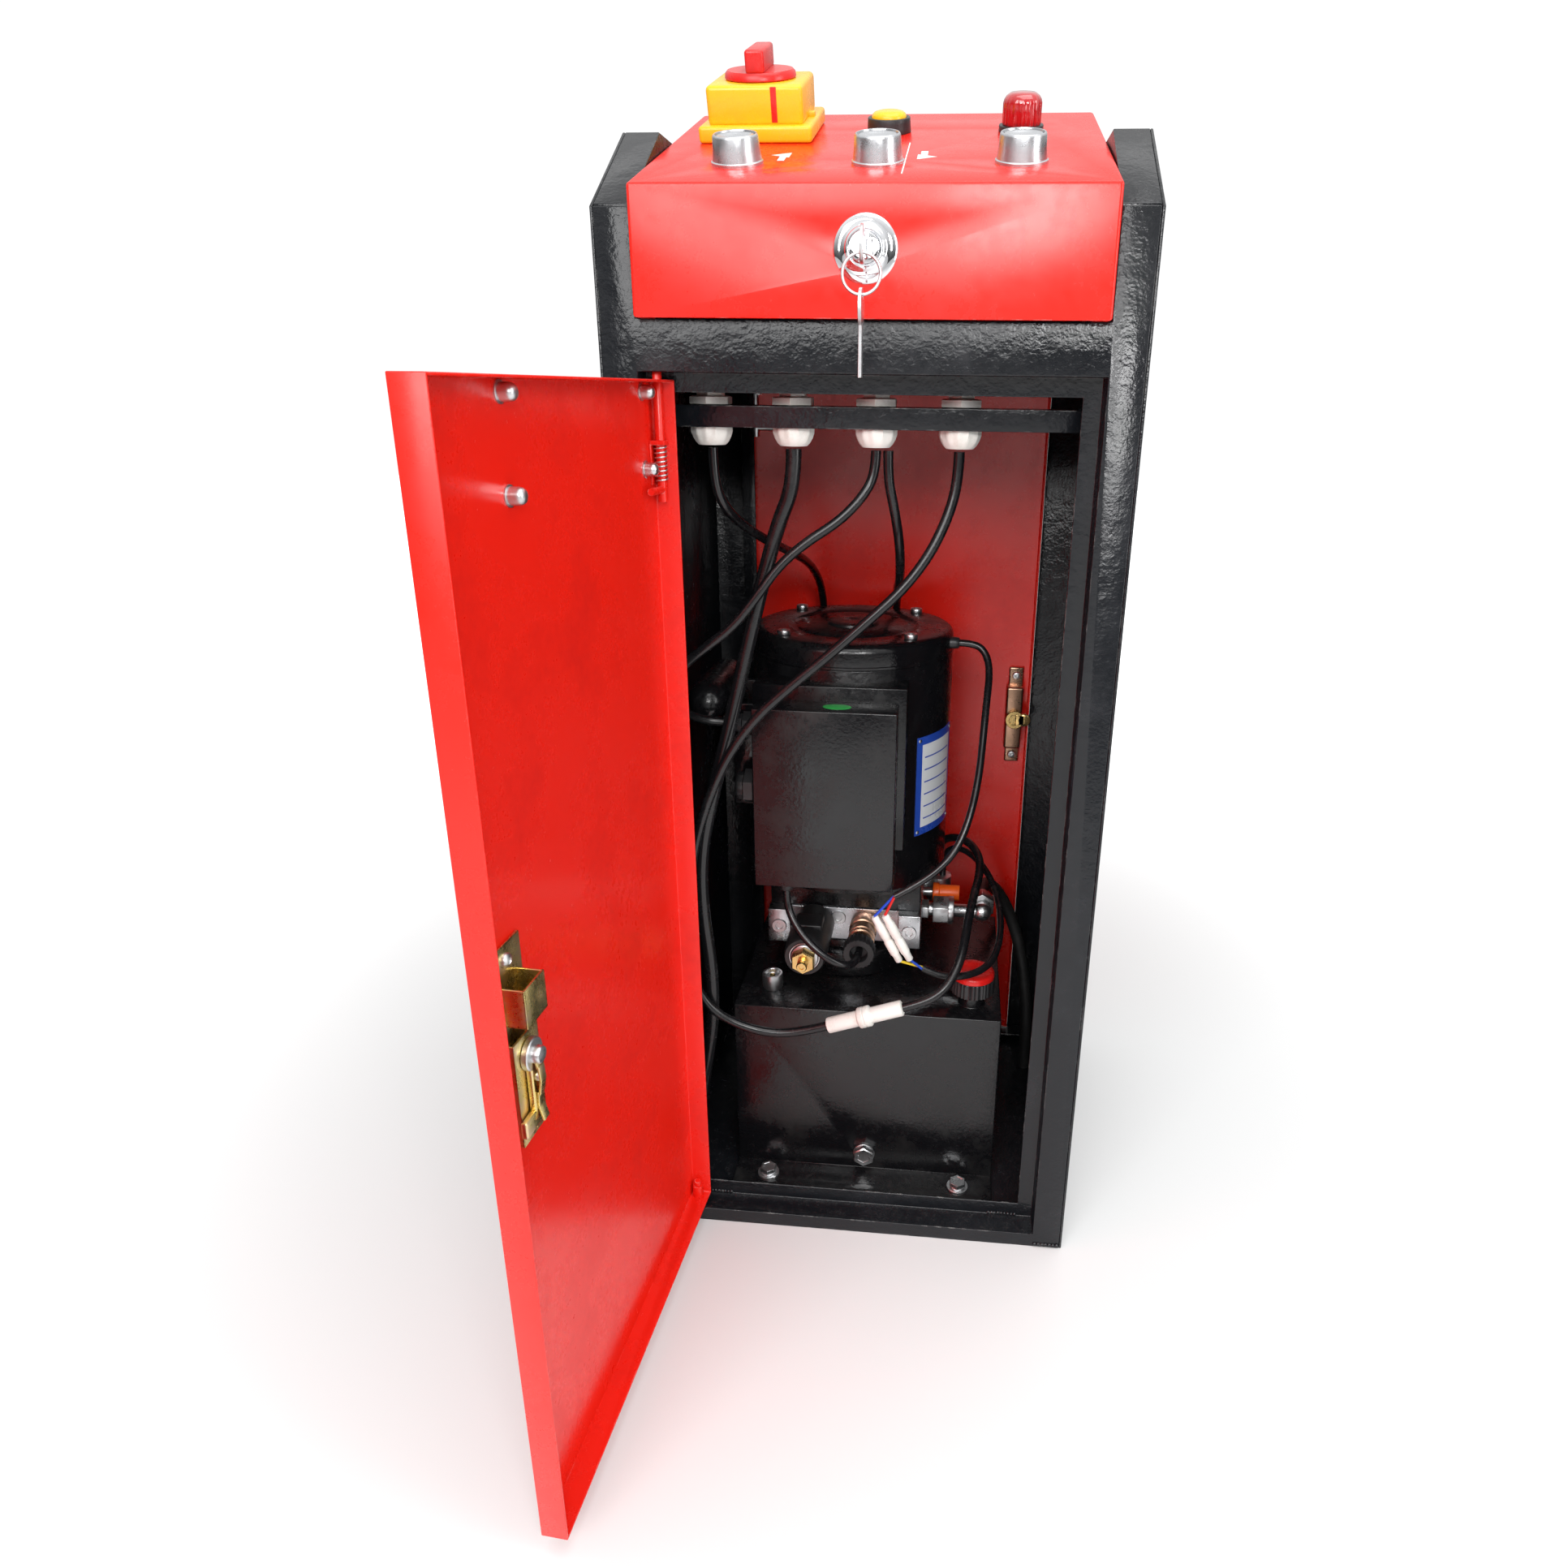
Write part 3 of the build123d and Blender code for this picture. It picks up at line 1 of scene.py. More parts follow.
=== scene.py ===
"""Look of a vehicle lift's control cabinet with its power pack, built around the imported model.
Metres, +Z up, front towards -Y, origin on the floor under the middle of the cabinet."""
import json
import math

import bpy
from mathutils import Matrix, Vector

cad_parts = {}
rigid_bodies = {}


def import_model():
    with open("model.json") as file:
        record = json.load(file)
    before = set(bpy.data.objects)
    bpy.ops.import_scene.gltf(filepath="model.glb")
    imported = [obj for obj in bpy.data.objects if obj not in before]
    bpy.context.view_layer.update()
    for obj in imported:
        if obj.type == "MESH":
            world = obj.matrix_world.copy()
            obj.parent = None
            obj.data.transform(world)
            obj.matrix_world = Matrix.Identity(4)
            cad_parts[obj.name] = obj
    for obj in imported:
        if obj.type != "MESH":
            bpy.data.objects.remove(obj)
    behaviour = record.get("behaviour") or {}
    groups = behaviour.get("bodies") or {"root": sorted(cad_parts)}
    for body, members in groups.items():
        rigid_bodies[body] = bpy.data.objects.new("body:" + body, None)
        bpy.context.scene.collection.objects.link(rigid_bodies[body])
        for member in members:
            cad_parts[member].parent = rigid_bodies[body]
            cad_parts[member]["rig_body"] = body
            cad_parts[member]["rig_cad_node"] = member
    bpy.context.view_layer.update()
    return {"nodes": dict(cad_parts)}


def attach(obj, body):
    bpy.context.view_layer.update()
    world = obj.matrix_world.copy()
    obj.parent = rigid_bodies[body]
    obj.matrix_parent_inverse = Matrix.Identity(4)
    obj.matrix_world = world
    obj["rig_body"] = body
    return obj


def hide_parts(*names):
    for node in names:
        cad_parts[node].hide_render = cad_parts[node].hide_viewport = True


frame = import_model()
nodes = frame["nodes"]
MM = 0.001

# ---- Studio ----
# A pale flat floor that fades to white, large soft lamps and an even white surround.
# The camera stands in front of the cabinet, a little left of its axis, and looks down into it.
floor_colour = (0.66, 0.66, 0.66, 1)
floor_fade = 0.35, 1.6   # metres from the middle between which the floor turns white


def object_place(tree):
    return tree.nodes.new("ShaderNodeTexCoord").outputs["Object"]


def feed(tree, socket, value):
    """Joins a socket to another socket, or sets it to a number or colour."""
    if isinstance(value, bpy.types.NodeSocket):
        tree.links.new(value, socket)
    else:
        socket.default_value = value


def sum_of(tree, kind, first, second, clamp=False):
    """Math node; each operand is a socket or a number."""
    node = tree.nodes.new("ShaderNodeMath")
    node.operation, node.use_clamp = kind, clamp
    feed(tree, node.inputs[0], first)
    feed(tree, node.inputs[1], second)
    return node.outputs[0]


def spread(tree, value, low, high, out_low=0, out_high=1, way="LINEAR"):
    """Maps a band of a pattern onto a range, and cuts off what lies outside it."""
    node = tree.nodes.new("ShaderNodeMapRange")
    node.interpolation_type = way
    tree.links.new(value, node.inputs["Value"])
    for label, number in (("From Min", low), ("From Max", high), ("To Min", out_low), ("To Max", out_high)):
        feed(tree, node.inputs[label], number)
    return node.outputs["Result"]


bpy.ops.object.select_all(action="DESELECT")
bpy.ops.mesh.primitive_plane_add(size=14, location=(0, 0, 0))
floor = bpy.context.object
floor.name = "studio_floor"
floor_finish = bpy.data.materials.new("studio_floor")
floor_finish.use_nodes = True
floor_shader = floor_finish.node_tree.nodes["Principled BSDF"]
floor_shader.inputs["Base Color"].default_value = floor_colour
floor_shader.inputs["Roughness"].default_value = 0.55
floor_tree = floor_finish.node_tree
away = floor_tree.nodes.new("ShaderNodeVectorMath")
away.operation = "LENGTH"
floor_tree.links.new(object_place(floor_tree), away.inputs[0])
fade = spread(floor_tree, away.outputs["Value"], *floor_fade, way="SMOOTHSTEP")
floor_view = floor_tree.nodes.new("ShaderNodeLightPath").outputs["Is Camera Ray"]
glow = sum_of(floor_tree, "MULTIPLY", fade, floor_view)
floor_tree.links.new(glow, floor_shader.inputs["Emission Strength"])
floor_shader.inputs["Emission Color"].default_value = (1, 1, 1, 1)
floor.data.materials.append(floor_finish)

world = bpy.data.worlds.new("studio_surround")
world.use_nodes = True
surround = world.node_tree
backdrop = surround.nodes["Background"]
backdrop.inputs["Color"].default_value = (1, 1, 1, 1)
backdrop.inputs["Strength"].default_value = 1.05
room = surround.nodes.new("ShaderNodeBackground")
height = surround.nodes.new("ShaderNodeSeparateXYZ")
surround.links.new(surround.nodes.new("ShaderNodeTexCoord").outputs["Generated"], height.inputs[0])
brightness = spread(surround, height.outputs["Z"], -0.15, 0.75, 0.05, 1.3, "SMOOTHSTEP")
surround.links.new(brightness, room.inputs["Strength"])
seen = surround.nodes.new("ShaderNodeLightPath")
either = surround.nodes.new("ShaderNodeMixShader")
surround.links.new(seen.outputs["Is Camera Ray"], either.inputs[0])
surround.links.new(room.outputs[0], either.inputs[1])
surround.links.new(backdrop.outputs[0], either.inputs[2])
surround.links.new(either.outputs[0], surround.nodes["World Output"].inputs["Surface"])
bpy.context.scene.world = world
bpy.context.scene.view_settings.view_transform = "Standard"


def soft_lamp(name, place, aim, size, power):
    bpy.ops.object.light_add(type="AREA", location=place)
    lamp = bpy.context.object
    lamp.name = name
    lamp.data.shape = "RECTANGLE"
    lamp.data.size, lamp.data.size_y = size
    lamp.data.energy = power
    lamp.rotation_euler = (Vector(aim) - Vector(place)).to_track_quat("-Z", "Y").to_euler()


soft_lamp("front_lamp", (-0.7, -2.3, 1.5), (0, 0, 0.4), (1.4, 1.2), 34)
soft_lamp("top_lamp", (0.3, -0.6, 2.4), (0, -0.1, 0.5), (1.6, 1.6), 20)
soft_lamp("right_lamp", (2, -0.9, 1), (0, 0, 0.5), (0.8, 1.6), 18)
soft_lamp("near_lamp", (0.25, -1.15, 0.95), (0, 0.05, 0.25), (0.35, 0.25), 5)

camera_place = Vector((58.4, -822.9, 664.9)) * MM
camera_turn, camera_tilt, camera_roll = 5.106, -19.719, -0.778   # degrees
camera_focus = 1262.85                                          # focal length for a frame 1932 wide
frame_width, sensor_width = 1932, 36
bpy.ops.object.camera_add(location=camera_place)
camera = bpy.context.object
camera.name = "studio_camera"
facing = (Matrix.Rotation(math.radians(camera_turn), 4, "Z")
    @ Matrix.Rotation(math.radians(camera_tilt), 4, "X")
    @ Matrix.Rotation(math.radians(camera_roll), 4, "Y")
    @ Matrix.Rotation(math.radians(90), 4, "X"))
camera.matrix_world = Matrix.Translation(camera_place) @ facing
camera.data.sensor_width = sensor_width
camera.data.lens = camera_focus * sensor_width / frame_width
camera.data.shift_x, camera.data.shift_y = -0.0487, -0.0170
camera.data.clip_start = 0.01
bpy.context.scene.camera = camera


# ---- Effects that several finishes share ----
# Each is a node group: worn edges, fine grain of powder or cast surfaces, settled dust, handling marks.
def effect(name, numbers, outputs):
    """A shader node group with named number sockets; an output named Normal is a direction."""
    group = bpy.data.node_groups.new(name, "ShaderNodeTree")
    for label, value in numbers.items():
        socket = group.interface.new_socket(label, in_out="INPUT", socket_type="NodeSocketFloat")
        socket.default_value = value
    for label in outputs:
        kind = "NodeSocketVector" if label == "Normal" else "NodeSocketFloat"
        group.interface.new_socket(label, in_out="OUTPUT", socket_type=kind)
    return group, group.nodes.new("NodeGroupInput"), group.nodes.new("NodeGroupOutput"), group.links.new


def noise(tree, place, scale, detail=3, rough=0.5):
    """Even cloudy pattern; scale is in patches per metre, as a number or a socket."""
    node = tree.nodes.new("ShaderNodeTexNoise")
    tree.links.new(place, node.inputs["Vector"])
    feed(tree, node.inputs["Scale"], scale)
    node.inputs["Detail"].default_value = detail
    node.inputs["Roughness"].default_value = rough
    return node.outputs["Fac"]


def worn_edges():
    group, given, result, link = effect("worn_edges", dict(Reach=0.0012, Patchiness=60), ["Wear"])
    soft = group.nodes.new("ShaderNodeBevel")
    soft.samples = 4
    link(given.outputs["Reach"], soft.inputs["Radius"])
    plain = group.nodes.new("ShaderNodeNewGeometry")
    compare = group.nodes.new("ShaderNodeVectorMath")
    compare.operation = "DOT_PRODUCT"
    link(soft.outputs["Normal"], compare.inputs[0])
    link(plain.outputs["Normal"], compare.inputs[1])
    edge = spread(group, compare.outputs["Value"], 0.97, 0.8)
    patches = noise(group, object_place(group), given.outputs["Patchiness"], 4, 0.65)
    wear = sum_of(group, "MULTIPLY", edge, spread(group, patches, 0.52, 0.62), True)
    link(wear, result.inputs["Wear"])
    return group


def powder_grain():
    group, given, result, link = effect("powder_grain", dict(Grain=900, Depth=0.3, Waves=60), ["Normal"])
    place = object_place(group)
    fine = noise(group, place, given.outputs["Grain"], 2, 0.5)
    waves = noise(group, place, given.outputs["Waves"], 1, 0.4)
    height = sum_of(group, "ADD", fine, sum_of(group, "MULTIPLY", waves, 1.6))
    bump = group.nodes.new("ShaderNodeBump")
    bump.inputs["Distance"].default_value = 0.0004
    link(given.outputs["Depth"], bump.inputs["Strength"])
    link(height, bump.inputs["Height"])
    link(bump.outputs["Normal"], result.inputs["Normal"])
    return group


def handling_marks():
    group, given, result, link = effect("handling_marks", dict(Size=14, Low=0.2, High=0.4),
        ["Roughness", "Mask"])
    place = object_place(group)
    cloud = noise(group, place, given.outputs["Size"], 5, 0.6)
    streaks = noise(group, place, sum_of(group, "MULTIPLY", given.outputs["Size"], 9), 3, 0.7)
    mix = sum_of(group, "ADD", sum_of(group, "MULTIPLY", cloud, 0.7),
        sum_of(group, "MULTIPLY", streaks, 0.3))
    link(spread(group, mix, 0.35, 0.65, given.outputs["Low"], given.outputs["High"]),
        result.inputs["Roughness"])
    link(spread(group, mix, 0.5, 0.68), result.inputs["Mask"])
    return group


def settled_dust():
    group, given, result, link = effect("settled_dust", dict(Amount=0.3), ["Dust"])
    facing_up = group.nodes.new("ShaderNodeSeparateXYZ")
    link(group.nodes.new("ShaderNodeNewGeometry").outputs["Normal"], facing_up.inputs[0])
    flat = spread(group, facing_up.outputs["Z"], 0.5, 1)
    specks = noise(group, object_place(group), 220, 6, 0.75)
    dust = sum_of(group, "MULTIPLY", sum_of(group, "MULTIPLY", flat, spread(group, specks, 0.5, 0.75)),
        given.outputs["Amount"], True)
    link(dust, result.inputs["Dust"])
    return group


WORN, GRAIN, MARKS, DUST = worn_edges(), powder_grain(), handling_marks(), settled_dust()


def use(tree, group, **values):
    node = tree.nodes.new("ShaderNodeGroup")
    node.node_tree = group
    for label, value in values.items():
        node.inputs[label].default_value = value
    return node


def blended(tree, share, first, second):
    """Colour mix of two sockets or fixed colours."""
    node = tree.nodes.new("ShaderNodeMix")
    node.data_type = "RGBA"
    tree.links.new(share, node.inputs["Factor"])
    for label, value in (("A", first), ("B", second)):
        socket = next(s for s in node.inputs if s.name == label and s.type == "RGBA")
        feed(tree, socket, value if isinstance(value, bpy.types.NodeSocket) else (*value, 1))
    return next(s for s in node.outputs if s.type == "RGBA")


def finish_of(name, colour, second, rough, metal=0, grain=(900, 0.25, 60), wear=None, dust=0,
        marks=14, coat=0, spec=0.5, wear_reach=0.0012):
    """One finish: two tones in clouds, roughness in handling marks, grain, worn edges and dust.

    Grain is its patches per metre, its depth and its waves per metre; marks are in patches per metre."""
    material = bpy.data.materials.new(name)
    material.use_nodes = True
    tree, link = material.node_tree, material.node_tree.links.new
    shader = tree.nodes["Principled BSDF"]
    handled = use(tree, MARKS, Size=marks, Low=rough[0], High=rough[1])
    shade = blended(tree, handled.outputs["Mask"], colour, second)
    roughness = handled.outputs["Roughness"]
    if dust:
        settled = use(tree, DUST, Amount=dust).outputs["Dust"]
        shade = blended(tree, settled, shade, (0.55, 0.53, 0.5))
        roughness = sum_of(tree, "MAXIMUM", roughness, settled)
    if wear:
        worn = use(tree, WORN, Reach=wear_reach, Patchiness=70).outputs["Wear"]
        shade = blended(tree, worn, shade, wear)
        roughness = sum_of(tree, "MAXIMUM", roughness, sum_of(tree, "MULTIPLY", worn, 0.38))
    link(shade, shader.inputs["Base Color"])
    link(roughness, shader.inputs["Roughness"])
    for label, value in (("Metallic", metal), ("Coat Weight", coat), ("Coat Roughness", 0.05),
            ("Specular IOR Level", spec)):
        shader.inputs[label].default_value = value
    grained = use(tree, GRAIN, Grain=grain[0], Depth=grain[1], Waves=grain[2])
    link(grained.outputs["Normal"], shader.inputs["Normal"])
    return material


# ---- Leads and pressure hose ----
# Black PVC-sheathed leads run loosely from the glands to the motor, valves and switch; the rubber
# pressure hose goes from the elbow through the base plate. Each is one length on its own line.
lead_sheath = finish_of(
    "lead_sheath", (0.006, 0.006, 0.007), (0.013, 0.013, 0.014), (0.16, 0.34),
    grain=(500, 0.1, 90), marks=40, dust=0.04)
hose_rubber = finish_of(
    "hose_rubber", (0.014, 0.014, 0.014), (0.03, 0.03, 0.03), (0.42, 0.6),
    grain=(1400, 0.5, 120), marks=30, dust=0.2)


def lead(name, diameter, route, finish=lead_sheath):
    """A flexible lead: a smooth line through its route, as thick as the real one."""
    curve = bpy.data.curves.new(name, "CURVE")
    curve.dimensions = "3D"
    curve.bevel_depth = diameter * MM / 2
    curve.bevel_resolution = 5
    curve.resolution_u = 10
    curve.use_fill_caps = True
    spline = curve.splines.new("NURBS")
    spline.points.add(len(route) - 1)
    for point, (x, y, z) in zip(spline.points, route):
        point.co = (x * MM, y * MM, z * MM, 1)
    spline.order_u = 3
    spline.use_endpoint_u = True
    piece = bpy.data.objects.new(name + "_run", curve)
    bpy.context.scene.collection.objects.link(piece)
    curve.materials.append(finish)
    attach(piece, "cabinet")
    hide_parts(name)
    return piece


lead("lead_valve_rear", 7, [
    (-113, -92, 626), (-113, -92, 608), (-110, -88, 590), (-101, -74, 574), (-88, -52, 560), (-78, -20, 548),
    (-72, 18, 537), (-68, 54, 526), (-65, 86, 512), (-63, 114, 492), (-62, 129, 462), (-61, 135, 425),
    (-60, 137, 380), (-59, 136, 330), (-58, 137, 288), (-57, 136, 258), (-56, 132, 236), (-56, 120, 219),
    (-56, 106, 213), (-56, 96, 213)])
lead("lead_supply", 11, [
    (-56, -92, 626), (-56, -92, 602), (-68, -91, 574), (-78, -90, 540), (-87, -92, 505), (-97, -95, 462),
    (-108, -99, 415), (-121, -103, 366), (-131, -104, 318), (-132, -102, 268), (-127, -100, 218),
    (-127, -99, 168), (-135, -96, 122), (-143, -88, 80), (-148, -76, 44), (-148, -76, 2)])
lead("lead_motor", 7, [
    (1, -92, 626), (1, -92, 610), (-8, -96, 594), (-24, -99, 578), (-46, -101, 564), (-66, -104, 547),
    (-82, -108, 524), (-98, -110, 504), (-117, -110, 489), (-134, -108, 476), (-146, -104, 462),
    (-150, -97, 447), (-146, -89, 433), (-136, -80, 424), (-121.5, -74, 419.5), (-108.5, -74, 419.5)])
lead("lead_pump", 7, [
    (9.5, -92, 626), (9.5, -92, 608), (14, -88, 588), (18, -76, 562), (18, -54, 536), (15, -22, 520),
    (12, 16, 511), (10, 54, 506), (8, 88, 502), (7, 115, 489), (5, 130, 462), (4, 135, 425), (3, 137, 380),
    (2, 136, 330), (1, 137, 288), (1, 136, 258), (0, 132, 236), (0, 120, 219), (0, 106, 213),
    (0, 96, 213)])
lead("lead_valve_upper", 7.5, [
    (58, -92, 626), (58, -92, 606), (52, -95, 582), (40, -100, 556), (22, -104, 532), (-4, -107, 508),
    (-30, -109, 484), (-56, -111, 462), (-82, -113, 438), (-104, -114, 408), (-121, -114, 370),
    (-134, -113, 328), (-141, -112, 282), (-143, -111, 238), (-139, -111, 205), (-126, -110, 181),
    (-103, -109, 167), (-75, -108, 160.5), (-48.6, -107, 164.4), (-30, -107, 171)])
lead("lead_valve_lower", 7.5, [
    (32, -107, 193), (50.6, -107, 199.6), (65, -102, 209), (75, -90, 222), (80, -70, 235), (83, -46, 246),
    (87, -20, 253), (92, 8, 258), (93, 33, 264), (85, 54, 269), (71, 69, 269), (57, 77, 261),
    (51.5, 78, 244), (51.5, 78, 224)])
lead("lead_thermal", 6, [
    (65, 20, 467), (79, 20, 467), (88, 16, 459), (91, 6, 446), (89, -12, 426), (87, -34, 401),
    (85, -50, 376), (80, -66, 350), (72, -78, 328), (60, -86, 312), (40, -92, 297), (22, -95, 287)])
lead("lead_thermal_tail", 6, [
    (46, -89, 220), (60, -90, 214), (76, -85, 211), (92, -76, 211), (104, -64, 215), (110, -44, 221),
    (112, -20, 227), (111, 6, 233), (106, 29, 241), (97, 48, 249), (85, 63, 255), (72, 73, 256),
    (63, 77.5, 250), (59.5, 78, 238), (59.5, 78, 224)])
lead("lead_coil", 6.5, [
    (-68, -74, 278.5), (-68, -74, 266), (-63, -79, 253), (-52, -86, 240), (-38, -91, 229), (-24, -91, 220),
    (-13, -82, 214), (-9, -68, 213), (-9, -50, 213)])
lead("pressure_hose", 12, [
    (97, 56, 213), (97, 76, 213), (102, 97, 209), (113, 113, 195), (126, 119, 172), (138, 116, 142),
    (146, 107, 108), (151, 97, 72), (152, 91, 38), (152, 91, 2)], finish=hose_rubber)

# ---- Folded steel cabinet ----
# Sides, front frame, top, base and gland rail are folded 2 mm sheet, welded and powder coated black,
# so every edge has a small bend radius and the coat has worn thin along the corners.
black_coat = finish_of(
    "black_coat", (0.006, 0.007, 0.009), (0.012, 0.013, 0.016), (0.14, 0.3),
    grain=(420, 0.7, 110), wear=(0.5, 0.5, 0.48), dust=0.03, spec=0.4)


def open_mesh(kind="VERT"):
    """Opens the active piece for editing, with all of it selected."""
    bpy.ops.object.mode_set(mode="EDIT")
    bpy.ops.mesh.select_mode(type=kind)
    bpy.ops.mesh.select_all(action="SELECT")


def close_mesh():
    bpy.ops.mesh.select_all(action="DESELECT")
    bpy.ops.object.mode_set(mode="OBJECT")


def softened(node, name, finish, radius, segments=2, body="cabinet", chosen=None):
    """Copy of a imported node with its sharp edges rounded, standing for that node.

    The long edges between chosen corners are rounded first, four times as wide."""
    bpy.ops.object.select_all(action="DESELECT")
    piece = nodes[node].copy()
    piece.data = nodes[node].data.copy()
    piece.name = piece.data.name = name
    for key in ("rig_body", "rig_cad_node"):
        if key in piece:
            del piece[key]
    piece.parent = None
    bpy.context.scene.collection.objects.link(piece)
    bpy.context.view_layer.objects.active = piece
    piece.select_set(True)
    open_mesh()
    bpy.ops.mesh.remove_doubles(threshold=0.00001)
    bpy.ops.mesh.dissolve_limited(angle_limit=math.radians(0.5))
    close_mesh()
    if chosen:
        for edge in piece.data.edges:
            first, last = (piece.data.vertices[i].co / MM for i in edge.vertices)
            edge.select = chosen(first) and chosen(last) and (first - last).length > 8
        bpy.ops.object.mode_set(mode="EDIT")
        bpy.ops.mesh.select_mode(type="EDGE")
        bpy.ops.mesh.bevel(offset=radius * MM * 4, segments=4, affect="EDGES", clamp_overlap=True)
        close_mesh()
    bevel = piece.modifiers.new("bend_radius", "BEVEL")
    bevel.width, bevel.segments = radius * MM, segments
    bevel.limit_method, bevel.angle_limit = "ANGLE", math.radians(40)
    bevel.use_clamp_overlap = False
    bpy.ops.object.modifier_apply(modifier="bend_radius")
    bpy.ops.object.shade_smooth_by_angle(angle=math.radians(35))
    piece.data.materials.clear()
    piece.data.materials.append(finish)
    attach(piece, body)
    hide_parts(node)
    return piece


for node, name, radius, segments in (
        ("side_panels", "cabinet_sides", 0.7, 2), ("front_frame", "door_frame", 0.7, 2),
        ("top_cover", "sloped_top", 0.6, 2), ("base_plate", "floor_sheet", 0.5, 1),
        ("gland_rail", "cable_rail", 0.5, 2)):
    softened(node, name, black_coat, radius, segments)

# ---- Doors and console cover ----
# Folded sheet in a smooth red coat. The console cover's outer folds are wider than the rest.
red_coat = finish_of(
    "red_coat", (0.72, 0.012, 0.005), (0.62, 0.009, 0.004), (0.2, 0.34),
    grain=(1000, 0.05, 40), wear=(0.8, 0.62, 0.58), wear_reach=0.0008)
cover_side, cover_front, cover_back, cover_fold, close_by = 144.5, -158, 48, 778, 0.1


def on_cover_fold(point):
    """Whether a corner of the console cover lies on one of its outer folds, in millimetres."""
    at_end = point.y < cover_front + close_by or point.y > cover_back - close_by
    return at_end and (abs(abs(point.x) - cover_side) < close_by or point.z > cover_fold - close_by)


softened("front_door_pan", "front_door_sheet", red_coat, 0.6, 3, body="front_door")
softened("rear_door_pan", "rear_door_sheet", red_coat, 0.6, 3, body="rear_door")
softened("console_box", "console_cover", red_coat, 0.6, 3, chosen=on_cover_fold)


# ---- Weld beads ----
# Short runs of weld join the foot of the front frame to the sides and the door stop; coated over.
# A drop of weld, like most small pieces here, is a round bar drawn out step by step.
def seat(x, y, z, axis=(0, 0, 1)):
    """Where a piece stands, in millimetres, and the way its own upright axis points."""
    return (Matrix.Translation(Vector((x, y, z)) * MM)
        @ Vector(axis).to_track_quat("Z", "Y").to_matrix().to_4x4())


def settle(piece, place, finish, angle=40):
    """Puts a piece in its place for good, with its faces outwards and its finish on."""
    piece.matrix_world = place @ piece.matrix_world
    bpy.ops.object.transform_apply(location=True, rotation=True, scale=True)
    open_mesh()
    bpy.ops.mesh.normals_make_consistent(inside=False)
    close_mesh()
    bpy.ops.object.shade_smooth_by_angle(angle=math.radians(angle))
    piece.data.materials.clear()
    piece.data.materials.append(finish)
    return piece


def turned(name, steps, place, finish, sides=48, flutes=0, depth=0.9):
    """A bar drawn out along its axis through (radius, height) steps, with flutes in its widest part."""
    bpy.ops.object.select_all(action="DESELECT")
    radius, height = steps[0]
    bpy.ops.mesh.primitive_circle_add(vertices=sides, radius=radius * MM, fill_type="NGON",
        location=(0, 0, 0))
    piece = bpy.context.object
    piece.name = piece.data.name = name
    open_mesh("FACE")
    bpy.ops.transform.translate(value=(0, 0, height * MM))
    for (radius, height), (next_radius, next_height) in zip(steps, steps[1:]):
        rise = (next_height - height) * MM
        bpy.ops.mesh.extrude_region_move(TRANSFORM_OT_translate={"value": (0, 0, rise)})
        share = next_radius / radius
        bpy.ops.transform.resize(value=(share, share, 1), center_override=(0, 0, next_height * MM))
    close_mesh()
    if flutes:
        fluted_from = max(r for r, _ in steps) * MM * 0.9
        for vertex in piece.data.vertices:
            reach = math.hypot(vertex.co.x, vertex.co.y)
            turn = math.atan2(vertex.co.y, vertex.co.x) * flutes / (2 * math.pi)
            if reach > fluted_from and (turn % 1) > 0.45:
                vertex.co.x *= depth
                vertex.co.y *= depth
    return settle(piece, place, finish)


def joined(name, pieces):
    """Several shapes made one piece, each keeping its finish."""
    bpy.ops.object.select_all(action="DESELECT")
    for piece in pieces:
        piece.select_set(True)
    bpy.context.view_layer.objects.active = pieces[0]
    if len(pieces) > 1:
        bpy.ops.object.join()
    pieces[0].name = pieces[0].data.name = name
    return pieces[0]


def fitted(piece, body, slot, *stands_for):
    """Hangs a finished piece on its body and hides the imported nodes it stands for."""
    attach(piece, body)
    for node in stands_for:
        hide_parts(node)
    return piece


def bead(start, end, radius=1.6, spacing=2.6):
    """A weld bead: overlapping flat drops along a line, a little uneven in height."""
    start, end = Vector(start), Vector(end)
    count = int((end - start).length / spacing)
    drop = [(radius, -0.4), (radius * 0.96, 0.5), (radius * 0.7, 1.1), (radius * 0.25, 1.35)]
    drops = []
    for number in range(count + 1):
        spot = start.lerp(end, number / count)
        wobble = 0.35 * math.sin(number * 2.4) + 0.25 * math.sin(number * 5.1)
        place = seat(spot.x, spot.y, spot.z + wobble * 0.4, (0, -1, 0.9))
        drops.append(turned("drop", drop, place, black_coat, 10))
    return joined("run", drops)


fitted(joined("frame_welds", [
    bead((148, -150.2, 3), (166, -150.2, 3)), bead((-166, -150.2, 3), (-148, -150.2, 3)),
    bead((110, -129.8, 13), (132, -129.8, 13)), bead((-132, -129.8, 13), (-110, -129.8, 13))]),
    "cabinet", "black_coat")

